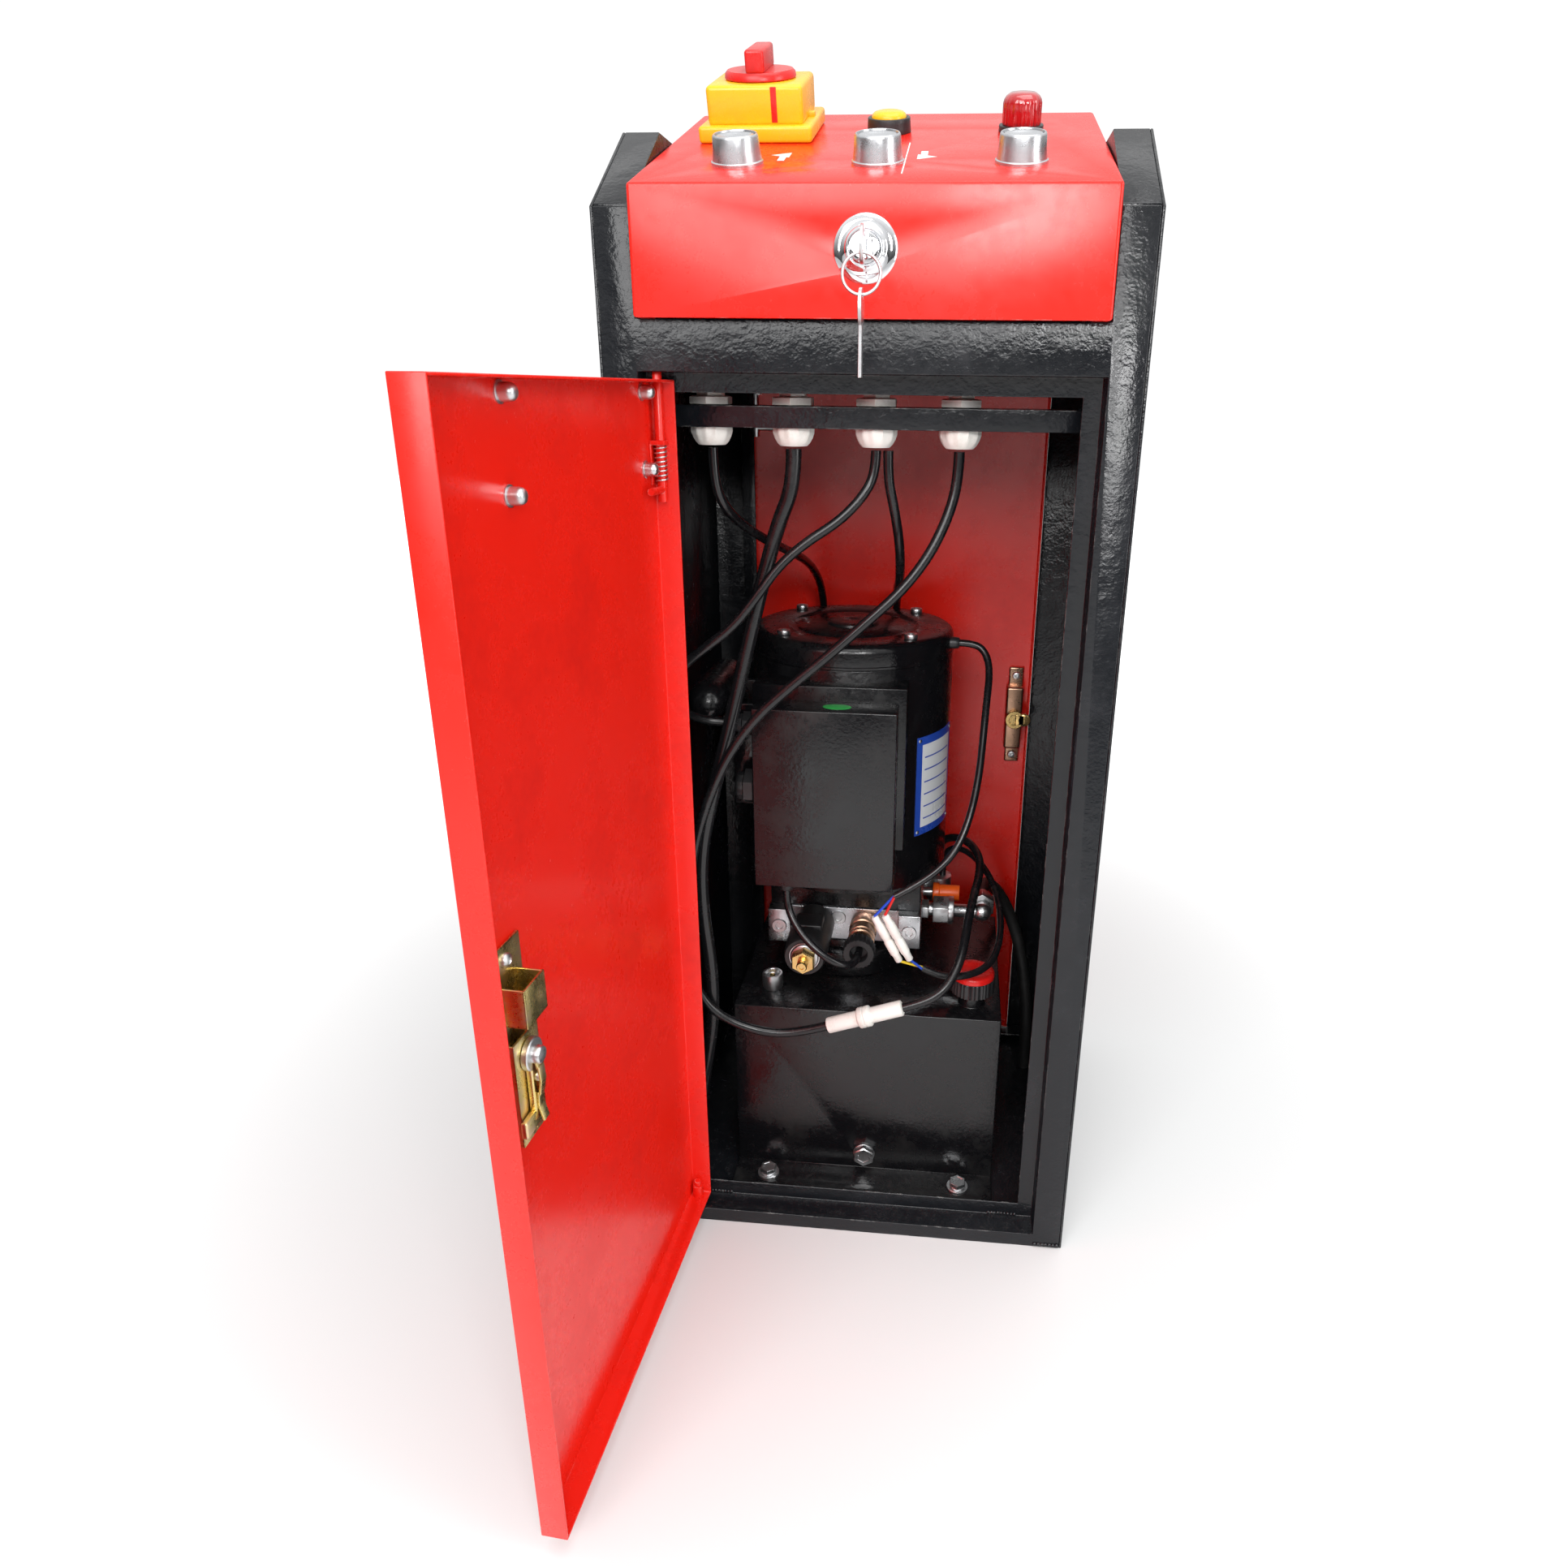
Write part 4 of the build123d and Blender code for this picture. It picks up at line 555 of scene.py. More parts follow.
# ---- Cable glands ----
# Moulded white nylon: a hexagonal body and domed sealing nut under the rail, a locknut on top.
nylon = finish_of(
    "nylon", (0.75, 0.74, 0.7), (0.62, 0.6, 0.54), (0.3, 0.5),
    grain=(900, 0.1, 60), marks=60)
gland_rows = []
for gland_x in (-113, -56, 1, 58):
    below_rail = seat(gland_x, -92, 652, (0, 0, -1))
    gland_rows += [
        turned("nut", [(13.2, 0), (15.2, 0.8), (15.2, 5.2), (13.4, 6), (10, 6), (10, 10.2), (9.2, 11),
            (7, 11), (7, 4)], seat(gland_x, -92, 654), nylon, 6),
        turned("body", [(15.4, 0), (15.4, 7.4), (13.4, 8.2), (13.2, 9)], below_rail, nylon, 6),
        turned("dome", [(14.2, 8.6), (14.6, 9.4), (14.4, 15.5), (13.2, 19), (11.4, 22), (9.4, 24),
            (8.4, 24), (7.6, 22)], below_rail, nylon, 48, 12, 0.94)]
fitted(joined("nylon_glands", gland_rows), "cabinet", "nylon", "cable_glands")

# ---- Console push buttons ----
# Three satin aluminium buttons with dished caps, each sunk in a tapering guard ring turned from bar.
aluminium = finish_of(
    "aluminium", (0.62, 0.63, 0.65), (0.52, 0.53, 0.55), (0.22, 0.36), metal=1,
    grain=(1800, 0.12, 120), marks=60)
console_slope = math.radians(21)


def on_console(along, x):
    """A place on the sloped panel, given by its way up the slope and its x, in millimetres."""
    place = Vector((x, cover_front + along * math.cos(console_slope),
        cover_fold + along * math.sin(console_slope))) * MM
    return Matrix.Translation(place) @ Matrix.Rotation(console_slope, 4, "X")


button_row, lamp_row = 52, 150
buttons = {"raise_button": -87, "lower_button": 0.5, "park_button": 88}
guard = [(11, -2), (11, 0), (16.2, 0), (16.2, 1.4), (15.4, 2), (14.6, 8), (14.1, 14.6), (13.7, 15.6),
    (13.2, 16), (12.7, 15.9), (12.4, 15.2), (12.1, 12), (12.1, 3)]
fitted(joined("button_guards", [turned("guard", guard, on_console(button_row, x), aluminium, 64)
    for x in buttons.values()]), "cabinet", "aluminium", "button_bezels")
dished_cap = [(4, -12), (4, 8), (11.6, 8), (11.85, 8.6), (11.85, 14.4), (11.4, 15.1), (10.8, 15.2),
    (9.6, 14.6), (7.4, 13.9), (5, 13.4), (2.4, 13.1), (0.3, 13)]
for button, x in buttons.items():
    fitted(turned(button + "_cap", dished_cap, on_console(button_row, x), aluminium, 64),
        button, "aluminium", button)

# ---- Yellow stop button and the plastic under the panel ----
# A domed yellow cap in a black ring; its contact blocks, the lamp holder and the switch body are black.
moulding = finish_of(
    "black_plastic", (0.014, 0.014, 0.015), (0.025, 0.025, 0.027), (0.3, 0.5),
    grain=(1600, 0.2, 90), marks=40)
yellow_plastic = finish_of(
    "yellow_plastic", (0.9, 0.48, 0.01), (0.82, 0.42, 0.01), (0.2, 0.35),
    grain=(900, 0.08, 60), marks=40)
softened("switch_bodies", "contact_blocks", moulding, 0.5)
domed_cap = [(4, -12), (4, 7.5), (11.8, 7.5), (11.9, 9.2), (11.3, 10.8), (9.8, 12), (7.2, 12.7), (4, 13),
    (0.3, 13.05)]
fitted(turned("stop_button_cap", domed_cap, on_console(lamp_row, 0.5), yellow_plastic, 64),
    "stop_button", "yellow_plastic", "stop_button")

# ---- Pilot lamp ----
# Ribbed red lens with a flat rounded top on its black holder.
lens_red = finish_of("lens_red", (0.4, 0.004, 0.008), (0.3, 0.004, 0.006), (0.06, 0.14), coat=1)
lens_steps = [(12.6, 4), (13, 4.5), (13, 16.5), (12.4, 18.6), (11, 20.6), (8.6, 22.2), (4, 22.9), (0.4, 23)]
fitted(turned("lamp_lens", lens_steps, on_console(lamp_row, 90), lens_red, 72, 24, 0.955),
    "cabinet", "lens", "pilot_lamp_lens")

# ---- Main switch ----
# Yellow moulded base and block, red rotary handle with a raised grip bar and a red mark on the front.
red_plastic = finish_of(
    "red_plastic", (0.62, 0.012, 0.01), (0.5, 0.01, 0.01), (0.2, 0.35),
    grain=(900, 0.08, 60), marks=40)


def cut_bar(name, low, high, place, finish, round_by=0.6, segments=3):
    """A rectangular piece between two corners, with all its edges rounded."""
    bpy.ops.object.select_all(action="DESELECT")
    low, high = Vector(low), Vector(high)
    bpy.ops.mesh.primitive_cube_add(size=1, location=(low + high) / 2 * MM)
    piece = bpy.context.object
    piece.name = piece.data.name = name
    piece.scale = (high - low) * MM
    bpy.ops.object.transform_apply(location=True, rotation=True, scale=True)
    open_mesh("EDGE")
    bpy.ops.mesh.bevel(offset=round_by * MM, segments=segments, affect="EDGES", clamp_overlap=True)
    close_mesh()
    return settle(piece, place, finish)


switch_place = on_console(lamp_row, -86)
switch_base = joined("base", [
    cut_bar("plate", (-38, -38, 0), (38, 38, 10), switch_place, yellow_plastic, 2.2),
    cut_bar("block", (-32, -32, 9), (32, 32, 32), switch_place, yellow_plastic, 3),
    cut_bar("rib", (-36, -3, 9.5), (36, 3, 13), switch_place, yellow_plastic, 0.8)])
stripe = cut_bar("stripe", (11, -32.2, 11), (15, -31, 31), switch_place, red_plastic, 0.3)
fitted(joined("main_switch_housing", [switch_base, stripe]), "cabinet", "yellow_plastic", "main_switch_base")
fitted(joined("main_switch_grip", [
    turned("disc", [(5, -20), (5, 32.3), (23.4, 32.3), (24, 33), (23.6, 35.6), (22, 37.2), (14, 37.6),
        (0.4, 37.6)], switch_place, red_plastic, 64),
    cut_bar("bar", (-6.3, -21.8, 36.5), (6.3, 21.8, 50.1), switch_place, red_plastic, 2)]),
    "main_switch", "red_plastic", "main_switch_handle")

# ---- Console markings ----
# Plain white printed signs on the sloped panel: a raise arrow, a lower arrow and a dividing line.
print_white = finish_of(
    "print_white", (0.78, 0.78, 0.76), (0.7, 0.7, 0.68), (0.4, 0.55),
    grain=(1000, 0.3, 70))


def flat_arrow(name, along, x, up, tall=22):
    """A flat arrow on the panel, a bar and a triangle a fraction of a millimetre thick."""
    place = on_console(along, x) @ Matrix.Rotation(0 if up else math.pi, 4, "Z")
    bar = cut_bar("bar", (-2.2, -tall / 2, 0), (2.2, tall / 8, 0.16), place, print_white, 0.04, 1)
    tip = (place @ Matrix.Translation(Vector((0, tall * 0.26, 0)) * MM)
        @ Matrix.Rotation(math.pi / 2, 4, "Z"))
    head = turned("head", [(8, 0), (8, 0.12), (7.9, 0.16)], tip, print_white, 3)
    return joined(name, [bar, head])


divider = cut_bar("divider", (16.6, 20, 0), (17.4, 112, 0.14), on_console(0, 0), print_white, 0.03, 1)
fitted(joined("panel_print", [flat_arrow("raise", 69, -61, True), flat_arrow("lower", 73, 28, False),
    divider]), "cabinet", "red_coat")

# ---- Key lock ----
# Chrome dished escutcheon pressed from sheet, a plated plug with its slot, and a nut behind the panel.
chrome = finish_of(
    "chrome", (0.82, 0.83, 0.85), (0.76, 0.77, 0.8), (0.03, 0.1), metal=1,
    grain=(600, 0.02, 60), marks=60)
zinc = finish_of(
    "bright_zinc", (0.66, 0.67, 0.68), (0.52, 0.52, 0.52), (0.24, 0.42), metal=1,
    grain=(900, 0.15, 90), marks=80)
front = (0, -1, 0)
lock_place = seat(-2, cover_front, 743, front)
escutcheon = [(9.9, -26), (9.9, 0), (19, 0), (19.2, 0.5), (18.8, 1.1), (17.5, 1.9), (15.4, 2.3),
    (13.4, 2.7), (12.2, 3.6), (11.4, 4.8), (10.6, 5.2), (9.6, 4.9), (8.7, 4.3), (8.7, -2)]
fitted(joined("lock_escutcheon", [
    turned("cup", escutcheon, lock_place, chrome, 72),
    turned("nut", [(15, -7), (15, -2)], lock_place, zinc, 6)]), "cabinet", "chrome", "lock_body")
softened("key_plug", "lock_plug", chrome, 0.3, body="lock")
softened("key", "cut_key", zinc, 0.35, body="lock")
softened("spare_key", "ring_and_spare_key", zinc, 0.2, 1, body="key_ring")

# ---- Front door hardware ----
# A red sprung hinge bolt with its bracket, the lower pivot, four studs with cap nuts, and the
# yellow-passivated latch: a strap with an open keeper and a channel. All sit on the open door's inner face.
yellow_zinc = finish_of(
    "yellow_zinc", (0.72, 0.58, 0.24), (0.7, 0.5, 0.42), (0.2, 0.38), metal=1,
    grain=(800, 0.1, 90), marks=60)
hinge_x, hinge_y, door_face = -136, -141.5, -147.5
door_turn = (Matrix.Translation(Vector((hinge_x, hinge_y, 0)) * MM)
    @ Matrix.Rotation(math.radians(-94), 4, "Z")
    @ Matrix.Translation(Vector((-hinge_x, -hinge_y, 0)) * MM))


def on_door(x, y, z, axis=(0, 1, 0)):
    """A seat given on the closed door, turned to where the door stands open."""
    return door_turn @ seat(x, y, z, axis)


def spring(name, radius, wire, low, high, turns, place, finish):
    """A coil spring: a helix of round wire, made a mesh."""
    curve = bpy.data.curves.new(name, "CURVE")
    curve.dimensions, curve.bevel_depth, curve.bevel_resolution = "3D", wire * MM, 2
    line = curve.splines.new("POLY")
    steps = 14   # points in each turn
    count = turns * steps
    line.points.add(count)
    for number, point in enumerate(line.points):
        angle = 2 * math.pi * number / steps
        point.co = (radius * math.cos(angle) * MM, radius * math.sin(angle) * MM,
            (low + (high - low) * number / count) * MM, 1)
    coil = bpy.data.objects.new(name, curve)
    bpy.context.scene.collection.objects.link(coil)
    bpy.ops.object.select_all(action="DESELECT")
    coil.select_set(True)
    bpy.context.view_layer.objects.active = coil
    bpy.ops.object.convert(target="MESH")
    return settle(bpy.context.object, place, finish, 60)


hinge_line = on_door(hinge_x, hinge_y, 0, (0, 0, 1))
hardware = [
    turned("bolt", [(3, 593.5), (3, 676), (2.4, 677.5)], hinge_line, red_coat, 24),
    spring("bolt_spring", 3.9, 0.55, 606, 632, 9, hinge_line, zinc),
    turned("handle", [(2.5, 0), (2.5, 20.6), (2.1, 22)], on_door(hinge_x, hinge_y, 601.5, (1, 0, 0)),
        red_coat, 24),
    cut_bar("bracket", (-140.4, -147.4, 629.5), (-131, -137, 632.5), door_turn, red_coat, 0.5),
    cut_bar("guide", (-140.4, -147.4, 604.5), (-131, -146.2, 632.5), door_turn, red_coat, 0.4),
    turned("pivot", [(3, 8.5), (3, 18), (4.4, 18), (4.4, 27.6), (4, 28.5), (3, 28.5), (3, 31.8),
        (2.6, 32.5)], hinge_line, red_coat, 24)]
cap_nut = [(5.5, 0), (5.5, 0.8), (4.5, 1), (4.5, 5.2), (4.2, 6.8), (3.4, 8.1), (2.2, 8.8), (0.6, 9)]
for stud_x in (-122, 60):
    for stud_z in (615, 662):
        hardware.append(turned("cap_nut", cap_nut, on_door(stud_x, door_face, stud_z), zinc, 32))
latch_x, latch_z = 116, 340


def latch_plate(name, across, out, up, round_by=0.5):
    """A flat piece of the front latch, given by its spans across, out from the door and upwards."""
    return cut_bar(name, (latch_x + across[0], door_face + out[0], latch_z + up[0]),
        (latch_x + across[1], door_face + out[1], latch_z + up[1]), door_turn,
        yellow_zinc, round_by)


hardware += [
    latch_plate("strap", (-17, 17), (0, 2), (-56, 62), 0.7),
    latch_plate("keeper_wall", (-11, -9.5), (1.6, 17), (22, 44)),
    latch_plate("keeper_wall", (9.5, 11), (1.6, 17), (22, 44)),
    latch_plate("keeper_face", (-11, 11), (15.5, 17), (22, 44)),
    latch_plate("keeper_floor", (-11, 11), (1.6, 17), (22, 23.5)),
    latch_plate("channel_wall", (-13, -11.5), (1.6, 9), (-50, 12)),
    latch_plate("channel_wall", (11.5, 13), (1.6, 9), (-50, 12)),
    latch_plate("channel_face", (-13, 13), (7.5, 9), (-50, 12)),
    latch_plate("channel_rib", (-3, -1), (8.6, 9.2), (-48, -4), 0.2),
    turned("screw", [(4, 2), (4, 3.6), (3.2, 4.6), (1.8, 5), (1.5, 4.4), (0.3, 4.3)],
        on_door(latch_x, door_face, latch_z + 54), zinc, 32)]
fitted(joined("front_door_fittings", hardware), "front_door", "yellow_zinc", "front_door_hardware")

# ---- Front latch claw ----
# A claw on a plated hub in front of the channel, with a lever of bent leaves hanging from it.
claw = [
    turned("hub", [(4, 4), (4, 9.3), (8.6, 9.3), (9, 9.7), (9, 12.4), (8.4, 13), (4.8, 13), (4.8, 16.4),
        (4.2, 17.2), (0.3, 17.6)], on_door(latch_x, door_face, latch_z), zinc, 40),
    turned("rivet", [(3, 12.6), (3, 15), (2.4, 16), (0.3, 16.3)],
        on_door(latch_x - 1, door_face, latch_z - 14), zinc, 24),
    latch_plate("arm", (-5, 5), (9.3, 13), (-38, 0), 1),
    latch_plate("hook", (-5, 16), (9.3, 13), (-42, -32), 1.2)]
for step, (out, tilt) in enumerate(((14, 12), (15.6, 4), (15.2, -8), (13.6, -2), (14.4, 14))):
    leaf_place = Vector((latch_x, door_face + out, latch_z - 3 - 8 * step)) * MM
    claw.append(cut_bar("lever_leaf", (-3, -0.6, -4.8), (3, 0.6, 4.8),
        door_turn @ Matrix.Translation(leaf_place)
        @ Matrix.Rotation(math.radians(tilt), 4, "X"), yellow_zinc, 0.4))
fitted(joined("front_latch_lever", claw), "front_latch", "yellow_zinc", "front_latch_claw")

# ---- Rear door latch and hinge pins ----
# A bronze-toned channel latch with ears and screws; its brass cam lever points at the frame.
bronze = finish_of(
    "bronze", (0.5, 0.3, 0.2), (0.42, 0.26, 0.17), (0.22, 0.36), metal=1,
    grain=(900, 0.1, 60), marks=80)
brass = finish_of(
    "brass", (0.72, 0.5, 0.2), (0.6, 0.4, 0.16), (0.18, 0.34), metal=1,
    grain=(900, 0.1, 60), marks=80)
softened("rear_door_hardware", "rear_hinge_pins", zinc, 0.3, body="rear_door")
inner = 147.5   # the rear door's inner face
cam_x, cam_z = 122, 368
as_drawn = Matrix.Identity(4)
rear_latch = [
    cut_bar("channel", (113, inner - 16, 337), (129, inner, 399), as_drawn, bronze, 2.4, 4),
    cut_bar("ear", (115, inner - 4, 320), (129, inner, 416), as_drawn, bronze, 1.6, 4)]
for height in (-40, 40):
    rear_latch.append(turned("screw", [(4, 3.5), (4, 5.4), (3.2, 6.6), (1.6, 7), (1.4, 6.3), (0.3, 6.2)],
        seat(cam_x, inner, cam_z + height, front), zinc, 32))
fitted(joined("rear_latch_case", rear_latch), "rear_door", "brass", "rear_latch_body")
fitted(joined("rear_cam_lever", [
    turned("hub", [(5, 12.4), (5, 16.3), (8.7, 16.3), (9, 16.7), (9, 20.4), (8.4, 21), (5.5, 21), (5, 20.4),
        (0.3, 20.4)], seat(cam_x, inner, cam_z, front), brass, 40),
    cut_bar("arm", (cam_x, inner - 21, 362), (132, inner - 16.3, 374), as_drawn, brass, 1.6),
    turned("tip", [(5.4, 16.3), (6, 16.8), (6, 20.5), (5.4, 21)], seat(131, inner, cam_z, front),
        brass, 32)]), "rear_latch", "brass", "rear_latch_lever")

# ---- Tank and its fittings ----
# Gloss black tank with a plated level plug, a hexagonal drain plug, four foot bolts with wide washers,
# and the filler breather: a black ribbed skirt under a red cap on a narrow neck.
gloss = finish_of(
    "gloss_black", (0.005, 0.005, 0.006), (0.012, 0.012, 0.012), (0.08, 0.42),
    grain=(330, 0.45, 30), dust=0.03, marks=24)
softened("tank", "oil_tank", gloss, 1, 3)
level_place, drain_place, cap_place = seat(-86, -47, 0), seat(0, -79, 21, front), seat(89, -52, 0)
fitted(joined("level_and_drain_plugs", [
    turned("level_cup", [(5, 164), (5, 167), (8.4, 167), (9, 168), (9, 180), (8.6, 181), (6.9, 181),
        (6.5, 180.4), (6.5, 177)], level_place, zinc, 48),
    turned("level_pin", [(2.5, 176), (2.5, 179), (1.8, 179.5)], level_place, brass, 24),
    turned("drain_flange", [(9.6, 0), (9.6, 1.4), (9, 1.8), (8, 1.8)], drain_place, zinc, 40),
    turned("drain_hex", [(8.9, 1.6), (9.8, 2.2), (9.8, 6.2), (8.8, 7), (5.6, 7), (5.2, 6.4), (0.3, 6.4)],
        drain_place, zinc, 6)]), "cabinet", "zinc", "tank_plugs")
fixings = []
for bolt_x in (-84, 84):
    for bolt_y in (-95, 117.5):
        place = seat(bolt_x, bolt_y, 0)
        fixings += [
            turned("washer", [(9.5, 5), (9.5, 6.2), (9.2, 6.6), (4.4, 6.6)], place, zinc, 40),
            turned("spring_washer", [(6.6, 6.5), (6.8, 6.8), (6.8, 7.8), (6.4, 8.1)], place,
                zinc, 32),
            turned("head", [(6.8, 7.6), (7.5, 8), (7.5, 11.2), (6.9, 12), (5.2, 12), (4.8, 11.6),
                (0.3, 11.6)], place, zinc, 6),
            turned("shank", [(4, 0), (4, 5.2)], place, zinc, 24)]
fitted(joined("filler_breather", [
    turned("dip", [(8, 155), (8, 179.3), (12, 179.3), (12, 181)], cap_place, moulding, 40),
    turned("skirt", [(17.5, 179.4), (19, 180.2), (19, 192.4), (18.4, 193.4), (17, 193.8)], cap_place,
        moulding, 96, 32, 0.955),
    turned("red_top", [(17.6, 193.4), (18.2, 193.8), (18.2, 197.4), (17.4, 198.6), (15.6, 199.2),
        (10, 199.3), (8.6, 198.6), (0.3, 198.5)], cap_place, red_plastic, 64)]),
    "filler_cap", "black_plastic", "filler_cap")

# ---- Pump and valve block ----
# The black pump body hangs into the tank under a clear-coated aluminium block and the motor's foot.
# The gears and the motor's inner parts, which no piece stands for, get their finishes as they are.
softened("pump_housing", "pump_body", gloss, 1.2, 3)
softened("manifold_block", "valve_block", aluminium, 0.7)
softened("pump_adapter", "motor_foot", gloss, 1.2, 3)
steel = finish_of("steel", (0.42, 0.42, 0.43), (0.32, 0.32, 0.33), (0.25, 0.45), metal=1, marks=60)
winding = finish_of("winding", (0.42, 0.16, 0.05), (0.3, 0.12, 0.05), (0.3, 0.5), marks=60)
for node in ("pump_drive_gear", "pump_driven_gear", "rotor", "motor_bearings", "stator"):
    nodes[node].data.materials.clear()
    nodes[node].data.materials.append(winding if node == "stator" else steel)

# ---- Electric motor ----
# Gloss black tube with a pressed end cover: a rolled rim, a stepped raised disc and four screws;
# a printed plate is riveted on its side, and the run capacitor sits in a rounded cover on the left.
motor_x, motor_y = -26, 38
softened("motor_frame", "motor_tube", gloss, 0.6)
cap_screw = [(3, -12), (3, 0), (5.2, 0), (5.5, 0.4), (5.5, 3.4), (5.1, 4), (3.1, 4), (2.9, 3.8), (2.9, 1.6),
    (0.3, 1.6)]
screw_ring = 73
for angle in (45, 135, 225, 315):
    place = seat(motor_x + screw_ring * math.cos(math.radians(angle)),
        motor_y + screw_ring * math.sin(math.radians(angle)), 477)
    fixings.append(turned("cap_screw", cap_screw, place, zinc, 30))
fitted(joined("bolts_and_cover_screws", fixings), "cabinet", "zinc", "machine_screws")
fitted(turned("motor_lid", [
    (86, 457), (86.6, 457.6), (86.6, 459.4), (86, 460), (86, 470), (85.4, 472.5), (84, 474.6), (82, 476.2),
    (79, 477), (57, 477), (55, 476), (53, 474.8), (50, 474.6), (48, 475.4), (46, 477), (23, 477),
    (22.4, 477.3), (21.6, 479.2), (20, 480), (6, 480), (5, 479.4), (0.4, 479.4)],
    seat(motor_x, motor_y, 0), gloss, 128),
    "cabinet", "gloss_black", "motor_end_cover")
even_grain = (900, 0.05, 60)
plate_blue = finish_of("plate_blue", (0.02, 0.07, 0.42), (0.03, 0.09, 0.46), (0.25, 0.4), grain=even_grain)
plate_white = finish_of("plate_white", (0.72, 0.74, 0.76), (0.6, 0.62, 0.66), (0.25, 0.4), grain=even_grain)


def wrapped(name, radius, start, end, low, high, thick, finish, steps=24):
    """A thin plate bent round the motor between two angles and two heights."""
    bpy.ops.object.select_all(action="DESELECT")
    bpy.ops.mesh.primitive_grid_add(x_subdivisions=steps, y_subdivisions=2, size=1, location=(0, 0, 0))
    plate = bpy.context.object
    plate.name = plate.data.name = name
    for vertex in plate.data.vertices:
        turn = math.radians(start + (vertex.co.x + 0.5) * (end - start))
        height = low + (vertex.co.y + 0.5) * (high - low)
        vertex.co = Vector((radius * math.cos(turn), radius * math.sin(turn), height)) * MM
    open_mesh()
    bpy.ops.mesh.normals_make_consistent(inside=False)
    close_mesh()
    wall = plate.modifiers.new("wall", "SOLIDIFY")
    wall.thickness, wall.offset = thick * MM, 0
    bpy.ops.object.modifier_apply(modifier="wall")
    return settle(plate, Matrix.Translation(Vector((motor_x, motor_y, 0)) * MM), finish)


rating = [wrapped("border", 86.4, -46, -8, 308, 396, 0.6, plate_blue),
    wrapped("field", 86.7, -42, -12, 315, 389, 0.4, plate_white)]
for row in range(6):
    rating.append(wrapped("rule", 86.95, -40, -14, 322 + row * 11, 323.2 + row * 11, 0.1, plate_blue, 12))
rivet_ring, rivet = 86.5, [(1.6, 0), (1.6, 0.5), (1, 1), (0.3, 1.1)]
for turn in (-44, -10):
    across, back = math.cos(math.radians(turn)), math.sin(math.radians(turn))
    for height in (311, 393):
        place = seat(motor_x + rivet_ring * across, motor_y + rivet_ring * back, height, (across, back, 0))
        rating.append(turned("rivet", rivet, place, zinc, 16))
fitted(joined("rating_plate", rating), "cabinet", "aluminium")
capacitor = turned("capsule", [
    (2, -67), (8, -65), (12.6, -60), (15.6, -54), (16.8, -48), (17, -40), (17, 14), (16.8, 22), (15.6, 28),
    (12.6, 34), (8, 37.6), (2, 39)], seat(-133, 0, 429, (0, 1, 0)), gloss, 64)
strap = cut_bar("strap", (-118, -12, 421), (-98, -8, 437), as_drawn, gloss, 0.6)
fitted(joined("capacitor_can", [capacitor, strap]), "cabinet", "gloss_black", "capacitor_cover")

# ---- Terminal cover ----
# Gloss black cover with an oval green inspection sticker, no lettering, and the moulded entry glands.
softened("junction_box", "terminal_cover", gloss, 0.9, 3)
sticker_green = finish_of(
    "sticker_green", (0.02, 0.35, 0.06), (0.03, 0.4, 0.08), (0.25, 0.4),
    grain=even_grain)
sticker = turned("sticker", [(6.5, 0), (6.5, 0.25), (6.2, 0.3)], as_drawn, sticker_green, 48)
for vertex in sticker.data.vertices:
    vertex.co.x *= 1.7
sticker.data.transform(Matrix.Translation(Vector((-27, -74, 435.5)) * MM))
fitted(sticker, "cabinet", "gloss_black")
lead_entry, blank_entry = (seat(-91.5, -74, height, (-1, 0, 0)) for height in (419.5, 367.5))
entries = [
    cut_bar("gland_plate", (-112, -60, 346), (-91, -57.5, 431), as_drawn, gloss, 1.1),
    turned("lead_nut", [(8.6, 0), (9.8, 0.8), (9.8, 8.2), (8.6, 9)], lead_entry, moulding, 6),
    turned("lead_dome", [(7.5, 9), (7.5, 12), (6.8, 15), (5.5, 17), (4.2, 17), (3.8, 15.5)], lead_entry,
        moulding, 40, 10, 0.94),
    turned("blank_nut", [(13, 0), (14.4, 0.9), (14.4, 8), (13, 9)], blank_entry, moulding, 6),
    turned("blank_cap", [(11, 9), (11, 12.5), (10.2, 14.4), (9, 15), (5, 15), (4.4, 14.2), (0.3, 14.2)],
        blank_entry, moulding, 48, 12, 0.95),
    turned("thermal_grommet", [(5, 60), (5, 87), (4.6, 90), (4, 91), (3.2, 91)],
        seat(motor_x, 20, 467, (1, 0, 0)), moulding, 32),
    turned("coil_grommet", [(7, 0), (7, 4), (6.2, 6.8), (5.5, 8), (4, 8)],
        seat(-68, -74, 286.5, (0, 0, -1)), moulding, 40, 10, 0.95)]
fitted(joined("motor_entry_glands", entries), "cabinet", "black_plastic", "junction_glands")

# ---- Valve block fittings ----
# Black moulded coil with an open steel tube end and its brass nut, a second valve with a ribbed
# connector, plugs screwed into the block, the outlet adapter and elbow, and an orange transport cap.
coil_place, valve_place = seat(-54, -10, 213, front), seat(-9, -10, 213, front)
fitted(joined("valve_coil", [
    turned("coil_body", [(17.6, 0), (18.5, 1), (18.5, 50), (17.9, 58), (17.2, 61), (16.4, 62), (13.6, 62),
        (13, 61.4), (13, 60)], coil_place, moulding, 64),
    turned("coil_liner", [(12.9, 59.8), (12.9, 61.6), (12.2, 61.6), (12.2, 60)], coil_place,
        zinc, 64),
    cut_bar("coil_plug", (-66, -52, 226), (-42, -30, 232.5), as_drawn, moulding, 1.5)]),
    "cabinet", "black_plastic", "solenoid_coil")
